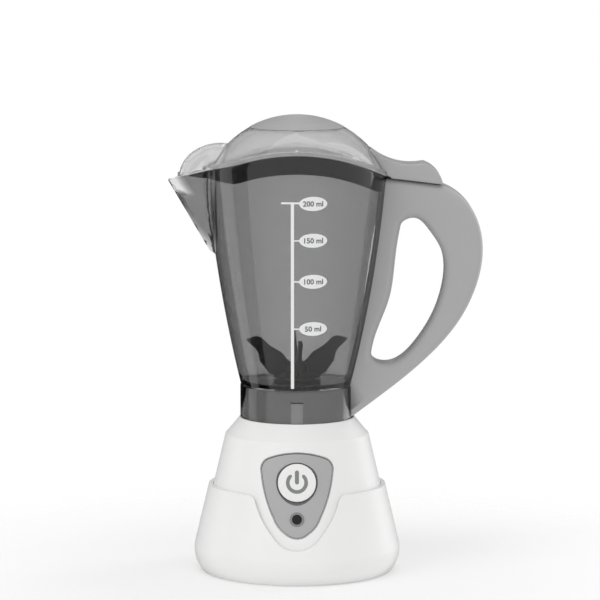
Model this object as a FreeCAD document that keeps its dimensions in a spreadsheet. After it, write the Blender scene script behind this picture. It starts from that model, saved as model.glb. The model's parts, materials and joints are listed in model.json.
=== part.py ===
import FreeCAD, Part
import math
import os
import re
import Sketcher
from FreeCAD import Placement, Rotation, Vector

# Toy blender: battery base with push button and gear train, jug with blade, lid.
# Millimetres. +Z is up, the front (button side) faces -Y, the spout points to -X and the
# handle to +X. The origin is the centre of the foot ring's flat underside, on the drive axis.
# The jug stands seated on the base and the lid is closed.

doc = FreeCAD.newDocument("toy_blender")
sheet = doc.addObject("Spreadsheet::Sheet", "dims")

# ---------------------------------------------------------------- driving dimensions

SIZES = {
    # base housing
    "seam_rad": 35.3, "seam_z": 36.5, "crown_rad": 30.5, "crown_z": 56.7,
    "crown_in": 1.2, "crown_rise": 2.1, "deck_rad": 24.2, "deck_z": 65.0, "deck_wall": 2.0,
    "upper_wall": 2.0, "lower_wall": 1.8, "lap_gap": 0.2, "lap_depth": 3.0,
    "belly_z": 11.0, "foot_in": 3.4, "foot_width": 2.6, "floor_recess": 1.2, "floor_wall": 2.0,
    "notch_low_z": 14.8, "notch_low_half": 9.7, "notch_low_rise": 5.2, "notch_bow": 0.9,
    "notch_top_half": 17.2, "notch_top_drop": 3.0, "notch_mouth_half": 20.0, "apron_lap": 1.5,
    # base screws and their bosses
    "boss_x": 19.3, "boss_y": 23.0, "boss_rad": 3.2, "boss_top_z": 43.0, "sink_depth": 0.9,
    "screw_rad": 1.1, "screw_head_rad": 2.2, "screw_head": 1.4, "screw_fit": 0.05,
    "base_screw_reach": 12.0, "screw_end_room": 0.6,
    # coupling collar
    "collar_rad": 22.2, "collar_height": 13.3, "collar_wall": 1.8, "collar_top": 2.0,
    "collar_round": 0.8, "well_rad": 10.3, "well_wall": 1.5, "well_round": 0.6,
    "key_low_half": 2.45, "key_top_half": 1.55, "key_height": 8.7, "key_proud": 0.6,
    "collar_boss_ring": 16.0, "collar_boss_rad": 3.0,
    "collar_screw_reach": 6.0,
    # control panel, button, indicator
    "panel_top_z": 54.4, "panel_corner_z": 52.2, "panel_corner_half": 11.5,
    "panel_cheek_z": 49.6, "panel_cheek_half": 14.5, "panel_wide_z": 45.8,
    "panel_wide_half": 15.0, "panel_waist_z": 36.5, "panel_waist_half": 13.3,
    "panel_low_z": 27.5, "panel_low_half": 9.8, "panel_chin_z": 24.1, "panel_chin_half": 7.9,
    "panel_tip_z": 21.5, "panel_tip_half": 5.0, "panel_bottom_z": 19.5,
    "panel_proud": 0.4, "panel_seat": 1.0, "panel_fit": 0.1,
    "button_z": 42.2, "button_rad": 7.9, "button_gap": 0.3, "button_proud": 0.9,
    "button_skirt": 4.2, "button_flange": 1.1, "button_wall": 1.3, "button_round": 0.6,
    "button_crown": 0.35, "stem_rad": 1.9, "stem_reach": 7.0,
    "indicator_z": 27.4, "indicator_rad": 2.1, "indicator_rim": 0.9, "indicator_depth": 3.4,
    "indicator_rim_wall": 0.25,
    # circuit board with its switch and light
    "board_depth": 12.0, "board_wall": 1.6, "board_half": 12.0, "board_top": 6.0,
    "board_low": 24.0, "board_screw_x": 9.0, "board_screw_drop": 9.5, "board_boss_rad": 2.3,
    "board_screw_reach": 5.6, "switch_half": 3.0, "switch_height": 3.4, "plunger_rad": 1.7,
    "plunger_depth": 1.4, "plunger_fit": 0.08, "light_rad": 1.5, "light_base_rad": 1.9,
    "light_base": 1.0, "light_gap": 0.5,
    # gear train
    "gear_module": 0.5, "pinion_teeth": 10, "idler_teeth": 32, "idler_pinion_teeth": 12,
    "output_teeth": 36, "tooth_addendum": 0.8, "tooth_dedendum": 1.3, "tooth_thin": 0.06,
    "motor_offset": 18.0, "pin_rad": 1.0, "shaft_rad": 2.0, "shaft_fit": 0.05,
    "shaft_end": 0.4,
    "plate_z": 46.0, "plate_wall": 1.6, "bay_height": 10.4, "plate_rad": 24.0,
    "plate_front": 19.0, "post_rad": 2.6, "post_ring": 17.0, "gear_end_gap": 0.5,
    "wheel_lift": 1.4, "wheel_width": 3.0, "output_width": 3.6, "gear_step": 1.0,
    "idler_hub_rad": 2.0, "output_hub_rad": 3.2, "gearbox_screw_reach": 15.0,
    # motor
    "motor_rad": 10.0, "motor_flat": 7.55, "motor_can_len": 20.0, "motor_cap_len": 5.0,
    "motor_cap_in": 0.3, "motor_boss_rad": 3.05, "motor_boss": 1.4, "cradle_wall": 1.2,
    "cradle_half": 6.0, "cradle_drop": 18.0, "cradle_fit": 0.1, "terminal_half": 1.2,
    "terminal_wall": 0.4, "terminal_reach": 2.0, "terminal_x": 4.0, "terminal_lift": 2.0,
    # output shaft, bush and drive dog
    "bush_rad": 4.6, "bush_drop": 1.0, "bush_flange_rad": 6.6, "bush_flange": 1.0,
    "dog_gap": 0.4, "dog_height": 7.4, "dog_hub_rad": 3.6, "dog_lobe_rad": 6.4,
    "dog_lobe_half": 1.2, "dog_fit": 0.25, "dog_clear": 0.5, "shaft_sink": 1.0,
    # batteries
    "cell_rad": 7.15, "cell_len": 50.5, "nub_rad": 2.7, "nub_len": 1.0, "cell_gap": 0.3,
    "cell_lift": 0.6, "contact_wall": 0.4, "contact_half": 6.2, "contact_height": 10.0,
    "spring_room": 4.7, "leaf_half": 4.5, "leaf_foot": 0.5, "leaf_side": 3.0, "lead_rad": 0.6, "tray_wall": 1.4, "tray_gap": 0.3, "tray_flange": 2.0,
    "tray_flange_wall": 1.2,
    # battery door
    "door_ledge": 0.6, "door_fit": 0.2, "door_wall": 1.8, "tongue_reach": 36.0,
    "tongue_half": 4.6, "tongue_wall": 0.9, "tongue_root": 1.5, "door_screw_x": 33.2,
    "door_boss_rad": 2.4, "door_boss_height": 5.5, "door_screw_head_rad": 2.0,
    "door_screw_head": 0.9, "door_screw_reach": 5.0, "door_rib_x": 12.0,
    "door_rib_half": 0.6, "door_rib_height": 0.45, "door_rib_end": 1.5,
    # jug, heights above the skirt's lower edge
    "skirt_rad": 23.9, "skirt_height": 13.8, "skirt_gap": 0.3, "floor_gap": 0.3,
    "jug_floor": 2.0, "jug_wall": 1.6, "neck_rad": 23.6, "waist_rad": 33.0,
    "waist_height": 60.5, "mouth_rad": 38.9, "mouth_height": 114.0,
    "rim_top": 112.7, "rim_arch_rad": 70.4, "rim_end": 44.0, "spout_start": 24.0,
    "spout_reach": 54.2, "spout_tip": 100.3, "spout_root": 69.7, "spout_root_rad": 36.3,
    "spout_half": 13.7, "spout_root_half": 0.6, "spout_tip_half": 2.8, "spout_round": 1.4,
    "spout_inside": 28.0, "key_fit": 0.25,
    # handle, distances from the drive axis and heights above the skirt's lower edge
    "handle_half": 8.0, "handle_round": 3.0, "handle_top": 101.0, "handle_top_end": 61.4,
    "handle_top_fall": 2.7, "handle_shoulder": 72.4, "handle_shoulder_up": 89.5,
    "handle_far": 77.6, "handle_far_up": 74.8, "handle_back": 74.6, "handle_back_up": 54.5,
    "handle_knee": 67.8, "handle_knee_up": 41.0, "handle_elbow": 58.8,
    "handle_elbow_up": 29.9, "handle_low": 47.9, "handle_low_up": 19.7,
    "handle_foot": 24.7, "handle_foot_up": 1.7, "handle_root": 16.0, "handle_tail": 0.3,
    "grip_top": 43.3, "grip_top_up": 81.2, "grip_side": 41.3, "grip_side_up": 69.0,
    "grip_mid": 38.8, "grip_mid_up": 51.2, "grip_low": 31.5, "grip_low_up": 29.9,
    "grip_corner": 31.7, "grip_corner_up": 25.2, "grip_base": 35.5, "grip_base_up": 23.3,
    "grip_out": 50.6, "grip_out_up": 32.9, "grip_far": 60.6, "grip_far_up": 53.9,
    "grip_bend": 60.9, "grip_bend_up": 69.6, "grip_turn": 54.6, "grip_turn_up": 80.3,
    "grip_crest": 49.1, "grip_crest_up": 84.5,
    # blade and its drive
    "jug_bush_rad": 4.2, "jug_bush_flange_rad": 6.0, "jug_bush_flange": 1.4,
    "jug_bush_top": 0.6, "seal_rad": 3.4, "seal_wall": 1.0, "clip_rad": 3.4, "clip_wall": 0.6,
    "clip_gap": 0.25, "clip_mouth_half": 1.0, "coupling_rad": 8.7, "coupling_low": 3.3,
    "hub_rad": 10.0, "hub_wall": 2.2, "hub_gap": 0.4, "hub_boss_rad": 4.6,
    "hub_boss_height": 7.4, "fin_half": 0.75, "fin_turn": 4.6, "fin_count": 4,
    # lid, heights above the skirt's lower edge
    "lid_axis": 86.25, "lid_rad": 41.0, "lid_side_rad": 59.0, "lid_half": 39.0,
    "lid_wall": 1.5, "lid_gap": 0.15, "flange_rad": 38.5, "flange_wall": 1.5,
    "flange_tip": 50.0, "flange_tip_half": 5.0, "cap_height": 122.3, "cap_proud": 0.2,
    "cap_wall": 0.8, "cap_fit": 0.05, "hood_x": 32.0, "hood_up": 101.0, "hood_long": 17.5,
    "hood_wide": 13.0, "hood_high": 14.5, "ring_depth": 7.5, "ring_wall": 1.5,
    "ring_fit": 0.35, "ring_tip": 46.0, "ring_low": 90.0, "ring_rise": 1.2, "tab_half": 9.0, "tab_gap": 0.3, "tab_end": 61.0,
    "tab_root": 31.0, "tab_root_up": 113.3, "tab_valley": 39.1, "tab_valley_up": 108.7,
    "tab_flat": 52.8, "tab_flat_up": 107.8, "tab_nose": 58.9, "tab_nose_up": 103.6,
    "tab_end_up": 99.4, "tab_round": 3.0,
}

# Outline of one blade fin, from the hub up along its upper edge, round the tip and back down
# the serrated lower edge: distance from the drive axis and height above the jug's floor.
FIN_OUTLINE = [
    (3.2, 2.0), (3.2, 8.0), (4.8, 9.5), (6.3, 11.7), (11.1, 14.4), (15.0, 18.1), (16.9, 18.8),
    (21.5, 17.6), (21.0, 16.6), (17.9, 13.9), (16.4, 11.7), (15.6, 7.6), (14.6, 7.3),
    (14.7, 6.3), (13.7, 6.0), (13.7, 5.1), (12.8, 4.7), (12.7, 3.6), (10.2, 2.2),
]
FIN_ENDS = []
for number, (out, up) in enumerate(FIN_OUTLINE, start=1):
    SIZES[f"fin_{number}_out"] = out
    SIZES[f"fin_{number}_up"] = up
    FIN_ENDS.append((f"fin_{number}_out", f"fin_{number}_up"))

for row, (alias, size) in enumerate(SIZES.items(), start=1):
    sheet.set(f"A{row}", alias)
    sheet.set(f"B{row}", str(size))
    sheet.setAlias(f"B{row}", alias)
doc.recompute()

ALIAS = re.compile(r"\b(" + "|".join(SIZES) + r")\b")
NODES = []


def ref(expression):
    """The expression with every named size pointing into the sheet."""
    return ALIAS.sub(r"dims.\1", str(expression))


def value(expression):
    """The number that an expression of named sizes gives."""
    return float(sheet.evalExpression(ref(expression)))


# ---------------------------------------------------------------- shared formulas

SLOPE = "((seam_rad - crown_rad) / (crown_z - seam_z))"
SIN_TILT = f"({SLOPE} / sqrt(1 + {SLOPE}^2))"
COS_TILT = f"(1 / sqrt(1 + {SLOPE}^2))"
FLOOR_TOP = "(floor_recess + floor_wall)"
NOTCH_TOP = "(seam_z - notch_top_drop)"
LIP_Z = "(seam_z - lap_depth)"
COLLAR_TOP = "(deck_z + collar_height)"
SKIRT_IN = "(collar_rad + skirt_gap)"
SKIRT_TOP = "(deck_z + skirt_height)"
JUG_FLOOR_LOW = "(deck_z + collar_height + floor_gap)"
JUG_FLOOR_TOP = "(deck_z + collar_height + floor_gap + jug_floor)"
BAY_LOW = "(plate_z + plate_wall)"
BAY_TOP = "(plate_z + plate_wall + bay_height)"
GEARBOX_TOP = "(plate_z + 2 * plate_wall + bay_height)"
MOTOR_MESH = "(gear_module * (pinion_teeth + idler_teeth) / 2)"
OUTPUT_MESH = "(gear_module * (idler_pinion_teeth + output_teeth) / 2)"
IDLER_Y = f"((motor_offset^2 + {OUTPUT_MESH}^2 - {MOTOR_MESH}^2) / (2 * motor_offset))"
IDLER_X = f"(-sqrt({OUTPUT_MESH}^2 - {IDLER_Y}^2))"
WHEEL_LOW = f"({BAY_LOW} + wheel_lift)"
WHEEL_TOP = f"({WHEEL_LOW} + wheel_width)"
OUTPUT_LOW = f"({WHEEL_TOP} + gear_step)"
OUTPUT_TOP = f"({OUTPUT_LOW} + output_width)"
DOG_LOW = "(deck_z + bush_flange + dog_gap)"
DOG_TOP = f"({DOG_LOW} + dog_height)"
SOCKET_TOP = f"({DOG_TOP} + dog_clear)"
COUPLING_LOW = "(deck_z + coupling_low)"
JUG_BUSH_LOW = f"({JUG_FLOOR_LOW} - jug_bush_flange)"
JUG_BUSH_TOP = f"({JUG_FLOOR_TOP} + jug_bush_top)"
CLIP_TOP = f"({JUG_BUSH_LOW} - clip_gap)"
COUPLING_TOP = f"({CLIP_TOP} - clip_wall)"
HUB_LOW = f"({JUG_BUSH_TOP} + hub_gap)"
HUB_TOP = f"({HUB_LOW} + hub_boss_height)"
CELL_Y = "(cell_rad + cell_gap / 2)"
DOOR_TOP = "(floor_recess + door_wall)"
CELL_Z = f"({DOOR_TOP} + cell_lift + cell_rad)"
TRAY_HALF_X = "((cell_len + spring_room) / 2 + contact_wall)"
TRAY_HALF_Y = "(2 * cell_rad + cell_gap / 2 + tray_gap)"
TRAY_ROOF = f"({CELL_Z} + cell_rad + tray_gap)"
DOOR_HALF_X = f"({TRAY_HALF_X} + tray_wall - door_ledge)"
DOOR_HALF_Y = f"({TRAY_HALF_Y} + tray_wall - door_ledge)"
INDICATOR_DROP = f"(-(button_z - indicator_z) / {COS_TILT})"
LID_AXIS_Z = "(deck_z + lid_axis)"
TRIM = 100


def cone(height, out=0):
    """Radius of the upper housing's cone at a height, moved outwards by out."""
    return f"(seam_rad - ({height} - seam_z) * {SLOPE} + ({out}))"


def belly(height, inset=0):
    """Radius of the lower sleeve's outer cone, which runs parallel to the upper one."""
    return cone(height, f"lap_gap + lower_wall - ({inset})")


def arch(across, lift=0):
    """Height of the jug's rim, a cylinder lying across the jug, at a distance across."""
    return f"(deck_z + rim_top - rim_arch_rad + sqrt(rim_arch_rad^2 - ({across})^2) + ({lift}))"


def spout_rim(across, lift=0):
    """Height of the straight rim that falls from the arch to the spout's tip."""
    fall = f"(({arch('spout_start')} - deck_z - spout_tip) / (spout_reach - spout_start))"
    return f"({arch('spout_start')} - (({across}) - spout_start) * {fall} + ({lift}))"


def handle_crest(across, lift=0):
    """Height of the handle's straight top at a distance from the drive axis."""
    fall = "(handle_top_fall / (handle_top_end - mouth_rad))"
    return f"(deck_z + handle_top - (({across}) - mouth_rad) * {fall} + ({lift}))"


def crowned(across, half, rise):
    """Height on a shallow round crown, centred on the axis, at a distance across."""
    radius = f"((({half})^2 + ({rise})^2) / (2 * ({rise})))"
    return f"({rise} - {radius} + sqrt({radius}^2 - ({across})^2))"


def spots_on_ring(radius, angles):
    """Places around the upright axis, as expressions."""
    return [(f"({radius} * cos({angle} deg))", f"({radius} * sin({angle} deg))") for angle in angles]


BASE_SCREW_SPOTS = [(f"({x}boss_x)", f"({y}boss_y)") for x in ("", "-") for y in ("", "-")]
POST_SPOTS = spots_on_ring("post_ring", (28, 180, 288))
COLLAR_SPOTS = spots_on_ring("collar_boss_ring", (90, 210, 330))
BOARD_SIDES = ("board_screw_x", "(-board_screw_x)")


# ---------------------------------------------------------------- drawing helpers

def new_body(label):
    body = doc.addObject("PartDesign::Body", label)
    body.Label = label
    return body


def keep(thing, solids=1):
    """Marks an object as one of the sub-parts that are written out, with its count of solids."""
    NODES.append((thing, solids))
    return thing


def origin_part(body, role):
    """One of the body's own origin planes or axes."""
    return [part for part in body.Origin.OriginFeatures if part.Role == role][0]


def pin_point(sketch, geometry, corner, across, up):
    """Fixes a point of a sketch at two distances from its origin, bound to the sheet."""
    for kind, distance in (("DistanceX", across), ("DistanceY", up)):
        fixed = Sketcher.Constraint(kind, -1, 1, geometry, corner, value(distance))
        index = sketch.addConstraint(fixed)
        sketch.setExpression(f"Constraints[{index}]", ref(distance))


def add_ring(sketch, across, up, radius):
    spot = Vector(value(across), value(up), 0)
    ring = sketch.addGeometry(Part.Circle(spot, Vector(0, 0, 1), value(radius)))
    index = sketch.addConstraint(Sketcher.Constraint("Radius", ring, value(radius)))
    sketch.setExpression(f"Constraints[{index}]", ref(radius))
    pin_point(sketch, ring, 3, across, up)


def arc_through(start, middle, end):
    """An arc for a sketch, anticlockwise from whichever end lies that way round."""
    bow = Part.ArcOfCircle(start, middle, end)
    centre = bow.Center
    across = (middle - start).cross(end - middle).z
    first, last = (start, end) if across > 0 else (end, start)
    begin = math.atan2(first.y - centre.y, first.x - centre.x) % (2 * math.pi)
    finish = math.atan2(last.y - centre.y, last.x - centre.x) % (2 * math.pi)
    if finish < begin:
        finish += 2 * math.pi
    circle = Part.Circle(centre, Vector(0, 0, 1), bow.Radius)
    return Part.ArcOfCircle(circle, begin, finish), across > 0


def add_outline(sketch, outline):
    """A closed outline. A pair is a corner that a line leads to. Four expressions are an arc
    that leads through the first two to the last two."""
    ends = [corner[-2:] for corner in outline]
    spots = [Vector(value(x), value(y), 0) for x, y in ends]
    sides = []
    for index, corner in enumerate(outline):
        start = spots[index - 1]
        if len(corner) == 2:
            line = sketch.addGeometry(Part.LineSegment(start, spots[index]))
            sides.append((line, 1, 2))
            continue
        middle = Vector(value(corner[0]), value(corner[1]), 0)
        arc, along = arc_through(start, middle, spots[index])
        bow = sketch.addGeometry(arc)
        sides.append((bow, 1, 2) if along else (bow, 2, 1))
        mark = sketch.addGeometry(Part.Point(middle), True)
        pin_point(sketch, mark, 1, corner[0], corner[1])
        sketch.addConstraint(Sketcher.Constraint("PointOnObject", mark, 1, bow))
    for index, (x, y) in enumerate(ends):
        here, _, finish = sides[index]
        ahead, begin, _ = sides[(index + 1) % len(sides)]
        pin_point(sketch, here, finish, x, y)
        sketch.addConstraint(Sketcher.Constraint("Coincident", here, finish, ahead, begin))


def draw(body, name, plane, *outlines, lift=0):
    """A sketch on one of the body's origin planes, moved along the plane's normal by lift."""
    sketch = body.newObject("Sketcher::SketchObject", name)
    sketch.AttachmentSupport = [(origin_part(body, plane), "")]
    sketch.MapMode = "FlatFace"
    if lift:
        sketch.setExpression("AttachmentOffset.Base.z", ref(lift))
    for outline in outlines:
        if outline[0] == "ring":
            add_ring(sketch, *outline[1:])
        else:
            add_outline(sketch, outline)
    return sketch


def box_outline(left, right, low, high):
    return [(left, low), (right, low), (right, high), (left, high)]


def centred(half_x, half_y):
    return box_outline(f"(-({half_x}))", half_x, f"(-({half_y}))", half_y)


def turned(body, kind, sketch, axis, angle):
    feature = body.newObject(f"PartDesign::{kind}", sketch.Name + "_turned")
    feature.Profile = sketch
    feature.ReferenceAxis = (sketch, [axis])
    feature.Angle = angle
    feature.Midplane = angle < 360
    return feature


def revolve(body, sketch, axis="V_Axis", angle=360):
    return turned(body, "Revolution", sketch, axis, angle)


def groove(body, sketch, axis="V_Axis"):
    return turned(body, "Groove", sketch, axis, 360)


def pad(body, sketch, length, both=False, back=False):
    feature = body.newObject("PartDesign::Pad", sketch.Name + "_pad")
    feature.Profile = sketch
    feature.setExpression("Length", ref(length))
    feature.Midplane = both
    feature.Reversed = back
    return feature


def pocket(body, sketch, length=None, both=False, back=False):
    """Cuts a sketch away, by a length or, where there is none, through everything."""
    feature = body.newObject("PartDesign::Pocket", sketch.Name + "_pocket")
    feature.Profile = sketch
    if both:
        feature.Length = 4 * TRIM
    elif length is None:
        feature.Type = "ThroughAll"
    else:
        feature.setExpression("Length", ref(length))
    feature.Midplane = both
    feature.Reversed = back
    return feature


def loft(body, kind, first, second):
    feature = body.newObject(f"PartDesign::{kind}Loft", first.Name + "_loft")
    feature.Profile = first
    feature.Sections = [second]
    feature.Ruled = True
    return feature


def around(body, feature, count):
    """Repeats a feature around the upright axis."""
    pattern = body.newObject("PartDesign::PolarPattern", feature.Name + "_around")
    pattern.Originals = [feature]
    pattern.Axis = (origin_part(body, "Z_Axis"), [""])
    pattern.Angle = 360
    pattern.setExpression("Occurrences", ref(count))
    body.Tip = pattern
    return pattern


def move(thing, across=0, deep=0, up=0):
    """Binds an object's place to the sheet."""
    for axis, distance in (("x", across), ("y", deep), ("z", up)):
        thing.setExpression(f"Placement.Base.{axis}", ref(distance))


def on_slope(thing, across=0, along=0, out=0):
    """Stands an object on the front slope: its own Z points out of the cone and its own Y up
    the slope. along and out are measured from the button's centre on the cone."""
    thing.Placement = Placement(Vector(), Rotation(Vector(1, 0, 0), 45))
    thing.setExpression("Placement.Rotation.Angle", ref(f"90 deg - atan({SLOPE})"))
    deep = f"-{cone('button_z')} + ({along}) * {SIN_TILT} - ({out}) * {COS_TILT}"
    up = f"button_z + ({along}) * {COS_TILT} + ({out}) * {SIN_TILT}"
    move(thing, across, deep, up)


def size_rod(rod, radius, length):
    rod.setExpression("Radius", ref(radius))
    rod.setExpression("Height", ref(length))
    return rod


def slope_rod(body, kind, name, radius, length, across, along, out):
    """Adds or cuts a round rod that stands square on the front slope."""
    rod = size_rod(body.newObject(f"PartDesign::{kind}Cylinder", name), radius, length)
    on_slope(rod, across, along, out)


def rods(body, kind, name, spots, radius, length, up):
    """Adds or cuts upright round rods at each spot."""
    for index, (across, deep) in enumerate(spots, start=1):
        rod = body.newObject(f"PartDesign::{kind}Cylinder", f"{name}_{index}")
        size_rod(rod, radius, length)
        move(rod, across, deep, up)


def cut(label, base, tool):
    result = doc.addObject("Part::Cut", label)
    result.Base = base
    result.Tool = tool
    result.Label = label
    return result


def group(label, members):
    """Separate solids that share one sub-part."""
    result = doc.addObject("Part::Compound", label)
    result.Links = members
    result.Label = label
    return keep(result, len(members))


def screw_set(label, count, head, head_rad, reach, place):
    """Identical screws, heads low, one solid each. place(rod, index, height) stands a rod at
    a height above the underside of the head."""
    members = []
    for index in range(count):
        pieces = []
        for part, radius, length, height in (
            ("head", head_rad, head, 0),
            ("shank", "screw_rad", reach, head),
        ):
            rod = doc.addObject("Part::Cylinder", f"{label}_{part}_{index + 1}")
            size_rod(rod, radius, length)
            place(rod, index, height)
            pieces.append(rod)
        screw = doc.addObject("Part::MultiFuse", f"{label}_{index + 1}")
        screw.Shapes = pieces
        members.append(screw)
    return group(label, members)


def upright_screws(label, spots, head_low, reach, head="screw_head", head_rad="screw_head_rad"):
    def place(rod, index, height):
        move(rod, *spots[index], f"{head_low} + {height}")
    return screw_set(label, len(spots), head, head_rad, reach, place)


def worked_out(label, shape):
    """An object whose shape is worked out in code from the sheet's values."""
    feature = doc.addObject("Part::Feature", label)
    feature.Label = label
    feature.Shape = shape
    return feature


# ---------------------------------------------------------------- base housing

def notch_sides(margin=0):
    """The V's two sides and bottom, from its right shoulder to its left, widened by margin."""
    low_half = f"(notch_low_half + {margin})"
    top_half = f"(notch_top_half + {margin})"
    middle = f"(({low_half} + {top_half}) / 2 + notch_bow)"
    rise = f"(notch_low_z + notch_low_rise - {margin} / 2)"
    middle_z = f"(({rise} + {NOTCH_TOP}) / 2)"
    return [
        (middle, middle_z, low_half, rise),
        ("0", f"(notch_low_z - {margin})", f"(-{low_half})", rise),
        (f"(-{middle})", middle_z, f"(-{top_half})", NOTCH_TOP),
    ]


def door_outline(gap):
    return centred(f"({DOOR_HALF_X} - {gap})", f"({DOOR_HALF_Y} - {gap})")


def tongue_outline(gap):
    half = f"(tongue_half - {gap})"
    return box_outline(f"({DOOR_HALF_X} - tongue_root)", f"(tongue_reach - {gap})", f"(-{half})", half)


def base_lower_shell():
    """Wide sleeve with its floor, foot ring, battery opening and the V in its front."""
    body = new_body("base_lower_shell")
    foot = f"({belly('belly_z')} - foot_in)"
    round_out = f"({foot} + foot_in * 3 / 4)"
    round_up = "(belly_z * 3 / 8)"
    revolve(body, draw(body, "lower_profile", "XZ_Plane", [
        ("0", "floor_recess"),
        (f"({foot} - foot_width)", "floor_recess"),
        (f"({foot} - foot_width)", "0"),
        (foot, "0"),
        (round_out, round_up, belly("belly_z"), "belly_z"),
        (belly("seam_z"), "seam_z"),
        (belly("seam_z", "lower_wall"), "seam_z"),
        (belly("belly_z", "lower_wall"), "belly_z"),
        (f"({round_out} - lower_wall)", f"({round_up} + lower_wall)", f"({foot} - lower_wall / 2)", FLOOR_TOP),
        ("0", FLOOR_TOP),
    ]))
    shoulder = "(notch_top_half + notch_bow)"
    pocket(body, draw(body, "notch", "XZ_Plane", [
        ("notch_mouth_half", TRIM),
        ("notch_mouth_half", "seam_z"),
        (shoulder, "(seam_z - notch_bow)", "notch_top_half", NOTCH_TOP),
        *notch_sides(),
        (f"(-{shoulder})", "(seam_z - notch_bow)", "(-notch_mouth_half)", "seam_z"),
        ("(-notch_mouth_half)", TRIM),
    ]), back=True)
    screw_spot = [("door_screw_x", "0")]
    pocket(body, draw(body, "door_opening", "XY_Plane", door_outline(0)), f"{FLOOR_TOP} + 1", back=True)
    rods(body, "Additive", "door_boss", screw_spot, "door_boss_rad", "floor_wall + door_boss_height", "floor_recess")
    pocket(body, draw(body, "tongue_seat", "XY_Plane", tongue_outline(0)),
           "floor_recess + tongue_wall + door_fit", back=True)
    rods(body, "Subtractive", "door_screw_hole", screw_spot, "screw_rad + 2 * screw_fit", TRIM, 0)
    rods(body, "Subtractive", "screw_hole", BASE_SCREW_SPOTS, "screw_rad + screw_fit", "belly_z", 0)
    rods(body, "Subtractive", "screw_sink", BASE_SCREW_SPOTS, "screw_head_rad + 4 * screw_fit",
         "floor_recess + sink_depth", 0)
    return keep(body)


def panel_outline(margin=0):
    """The pick-shaped panel seen from the front, widened by a margin."""
    def side(sign):
        half = [f"({sign}({name} + {margin}))" for name in (
            "panel_corner_half", "panel_cheek_half", "panel_wide_half", "panel_waist_half",
            "panel_low_half", "panel_chin_half", "panel_tip_half")]
        return half
    right, left = side(""), side("-")
    corner_z = f"(panel_corner_z + {margin})"
    tip_z = f"(panel_tip_z - {margin})"
    return [
        ("0", f"(panel_top_z + {margin})", right[0], corner_z),
        (right[1], f"(panel_cheek_z + {margin})", right[2], "panel_wide_z"),
        (right[3], "panel_waist_z", right[4], "panel_low_z"),
        (right[5], f"(panel_chin_z - {margin} / 2)", right[6], tip_z),
        ("0", f"(panel_bottom_z - {margin})", left[6], tip_z),
        (left[5], f"(panel_chin_z - {margin} / 2)", left[4], "panel_low_z"),
        (left[3], "panel_waist_z", left[2], "panel_wide_z"),
        (left[1], f"(panel_cheek_z + {margin})", left[0], corner_z),
    ]


def panel_blank(label, margin, proud):
    """A shell on the cone, cut to the panel's outline: the panel, or the tool for its seat."""
    body = new_body(label)
    low = "(panel_bottom_z - 2)"
    high = "(panel_top_z + 2)"
    revolve(body, draw(body, label + "_section", "YZ_Plane", [
        (f"(-{cone(low, proud)})", low),
        (f"(-{cone(high, proud)})", high),
        (f"(-{cone(high, '-panel_seat')})", high),
        (f"(-{cone(low, '-panel_seat')})", low),
    ]), angle=80)
    frame = box_outline(-TRIM, TRIM, 0, TRIM)
    pocket(body, draw(body, label + "_trim", "XZ_Plane", frame, panel_outline(margin)), back=True)
    return body


def panel_holes(body, label, margin):
    for name, radius, along in (
        ("button", "button_rad + button_gap", 0),
        ("indicator", f"indicator_rad + {margin}", INDICATOR_DROP),
    ):
        slope_rod(body, "Subtractive", f"{label}_{name}_hole", radius, "6 * upper_wall", 0, along,
                  "-4 * upper_wall")


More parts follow.
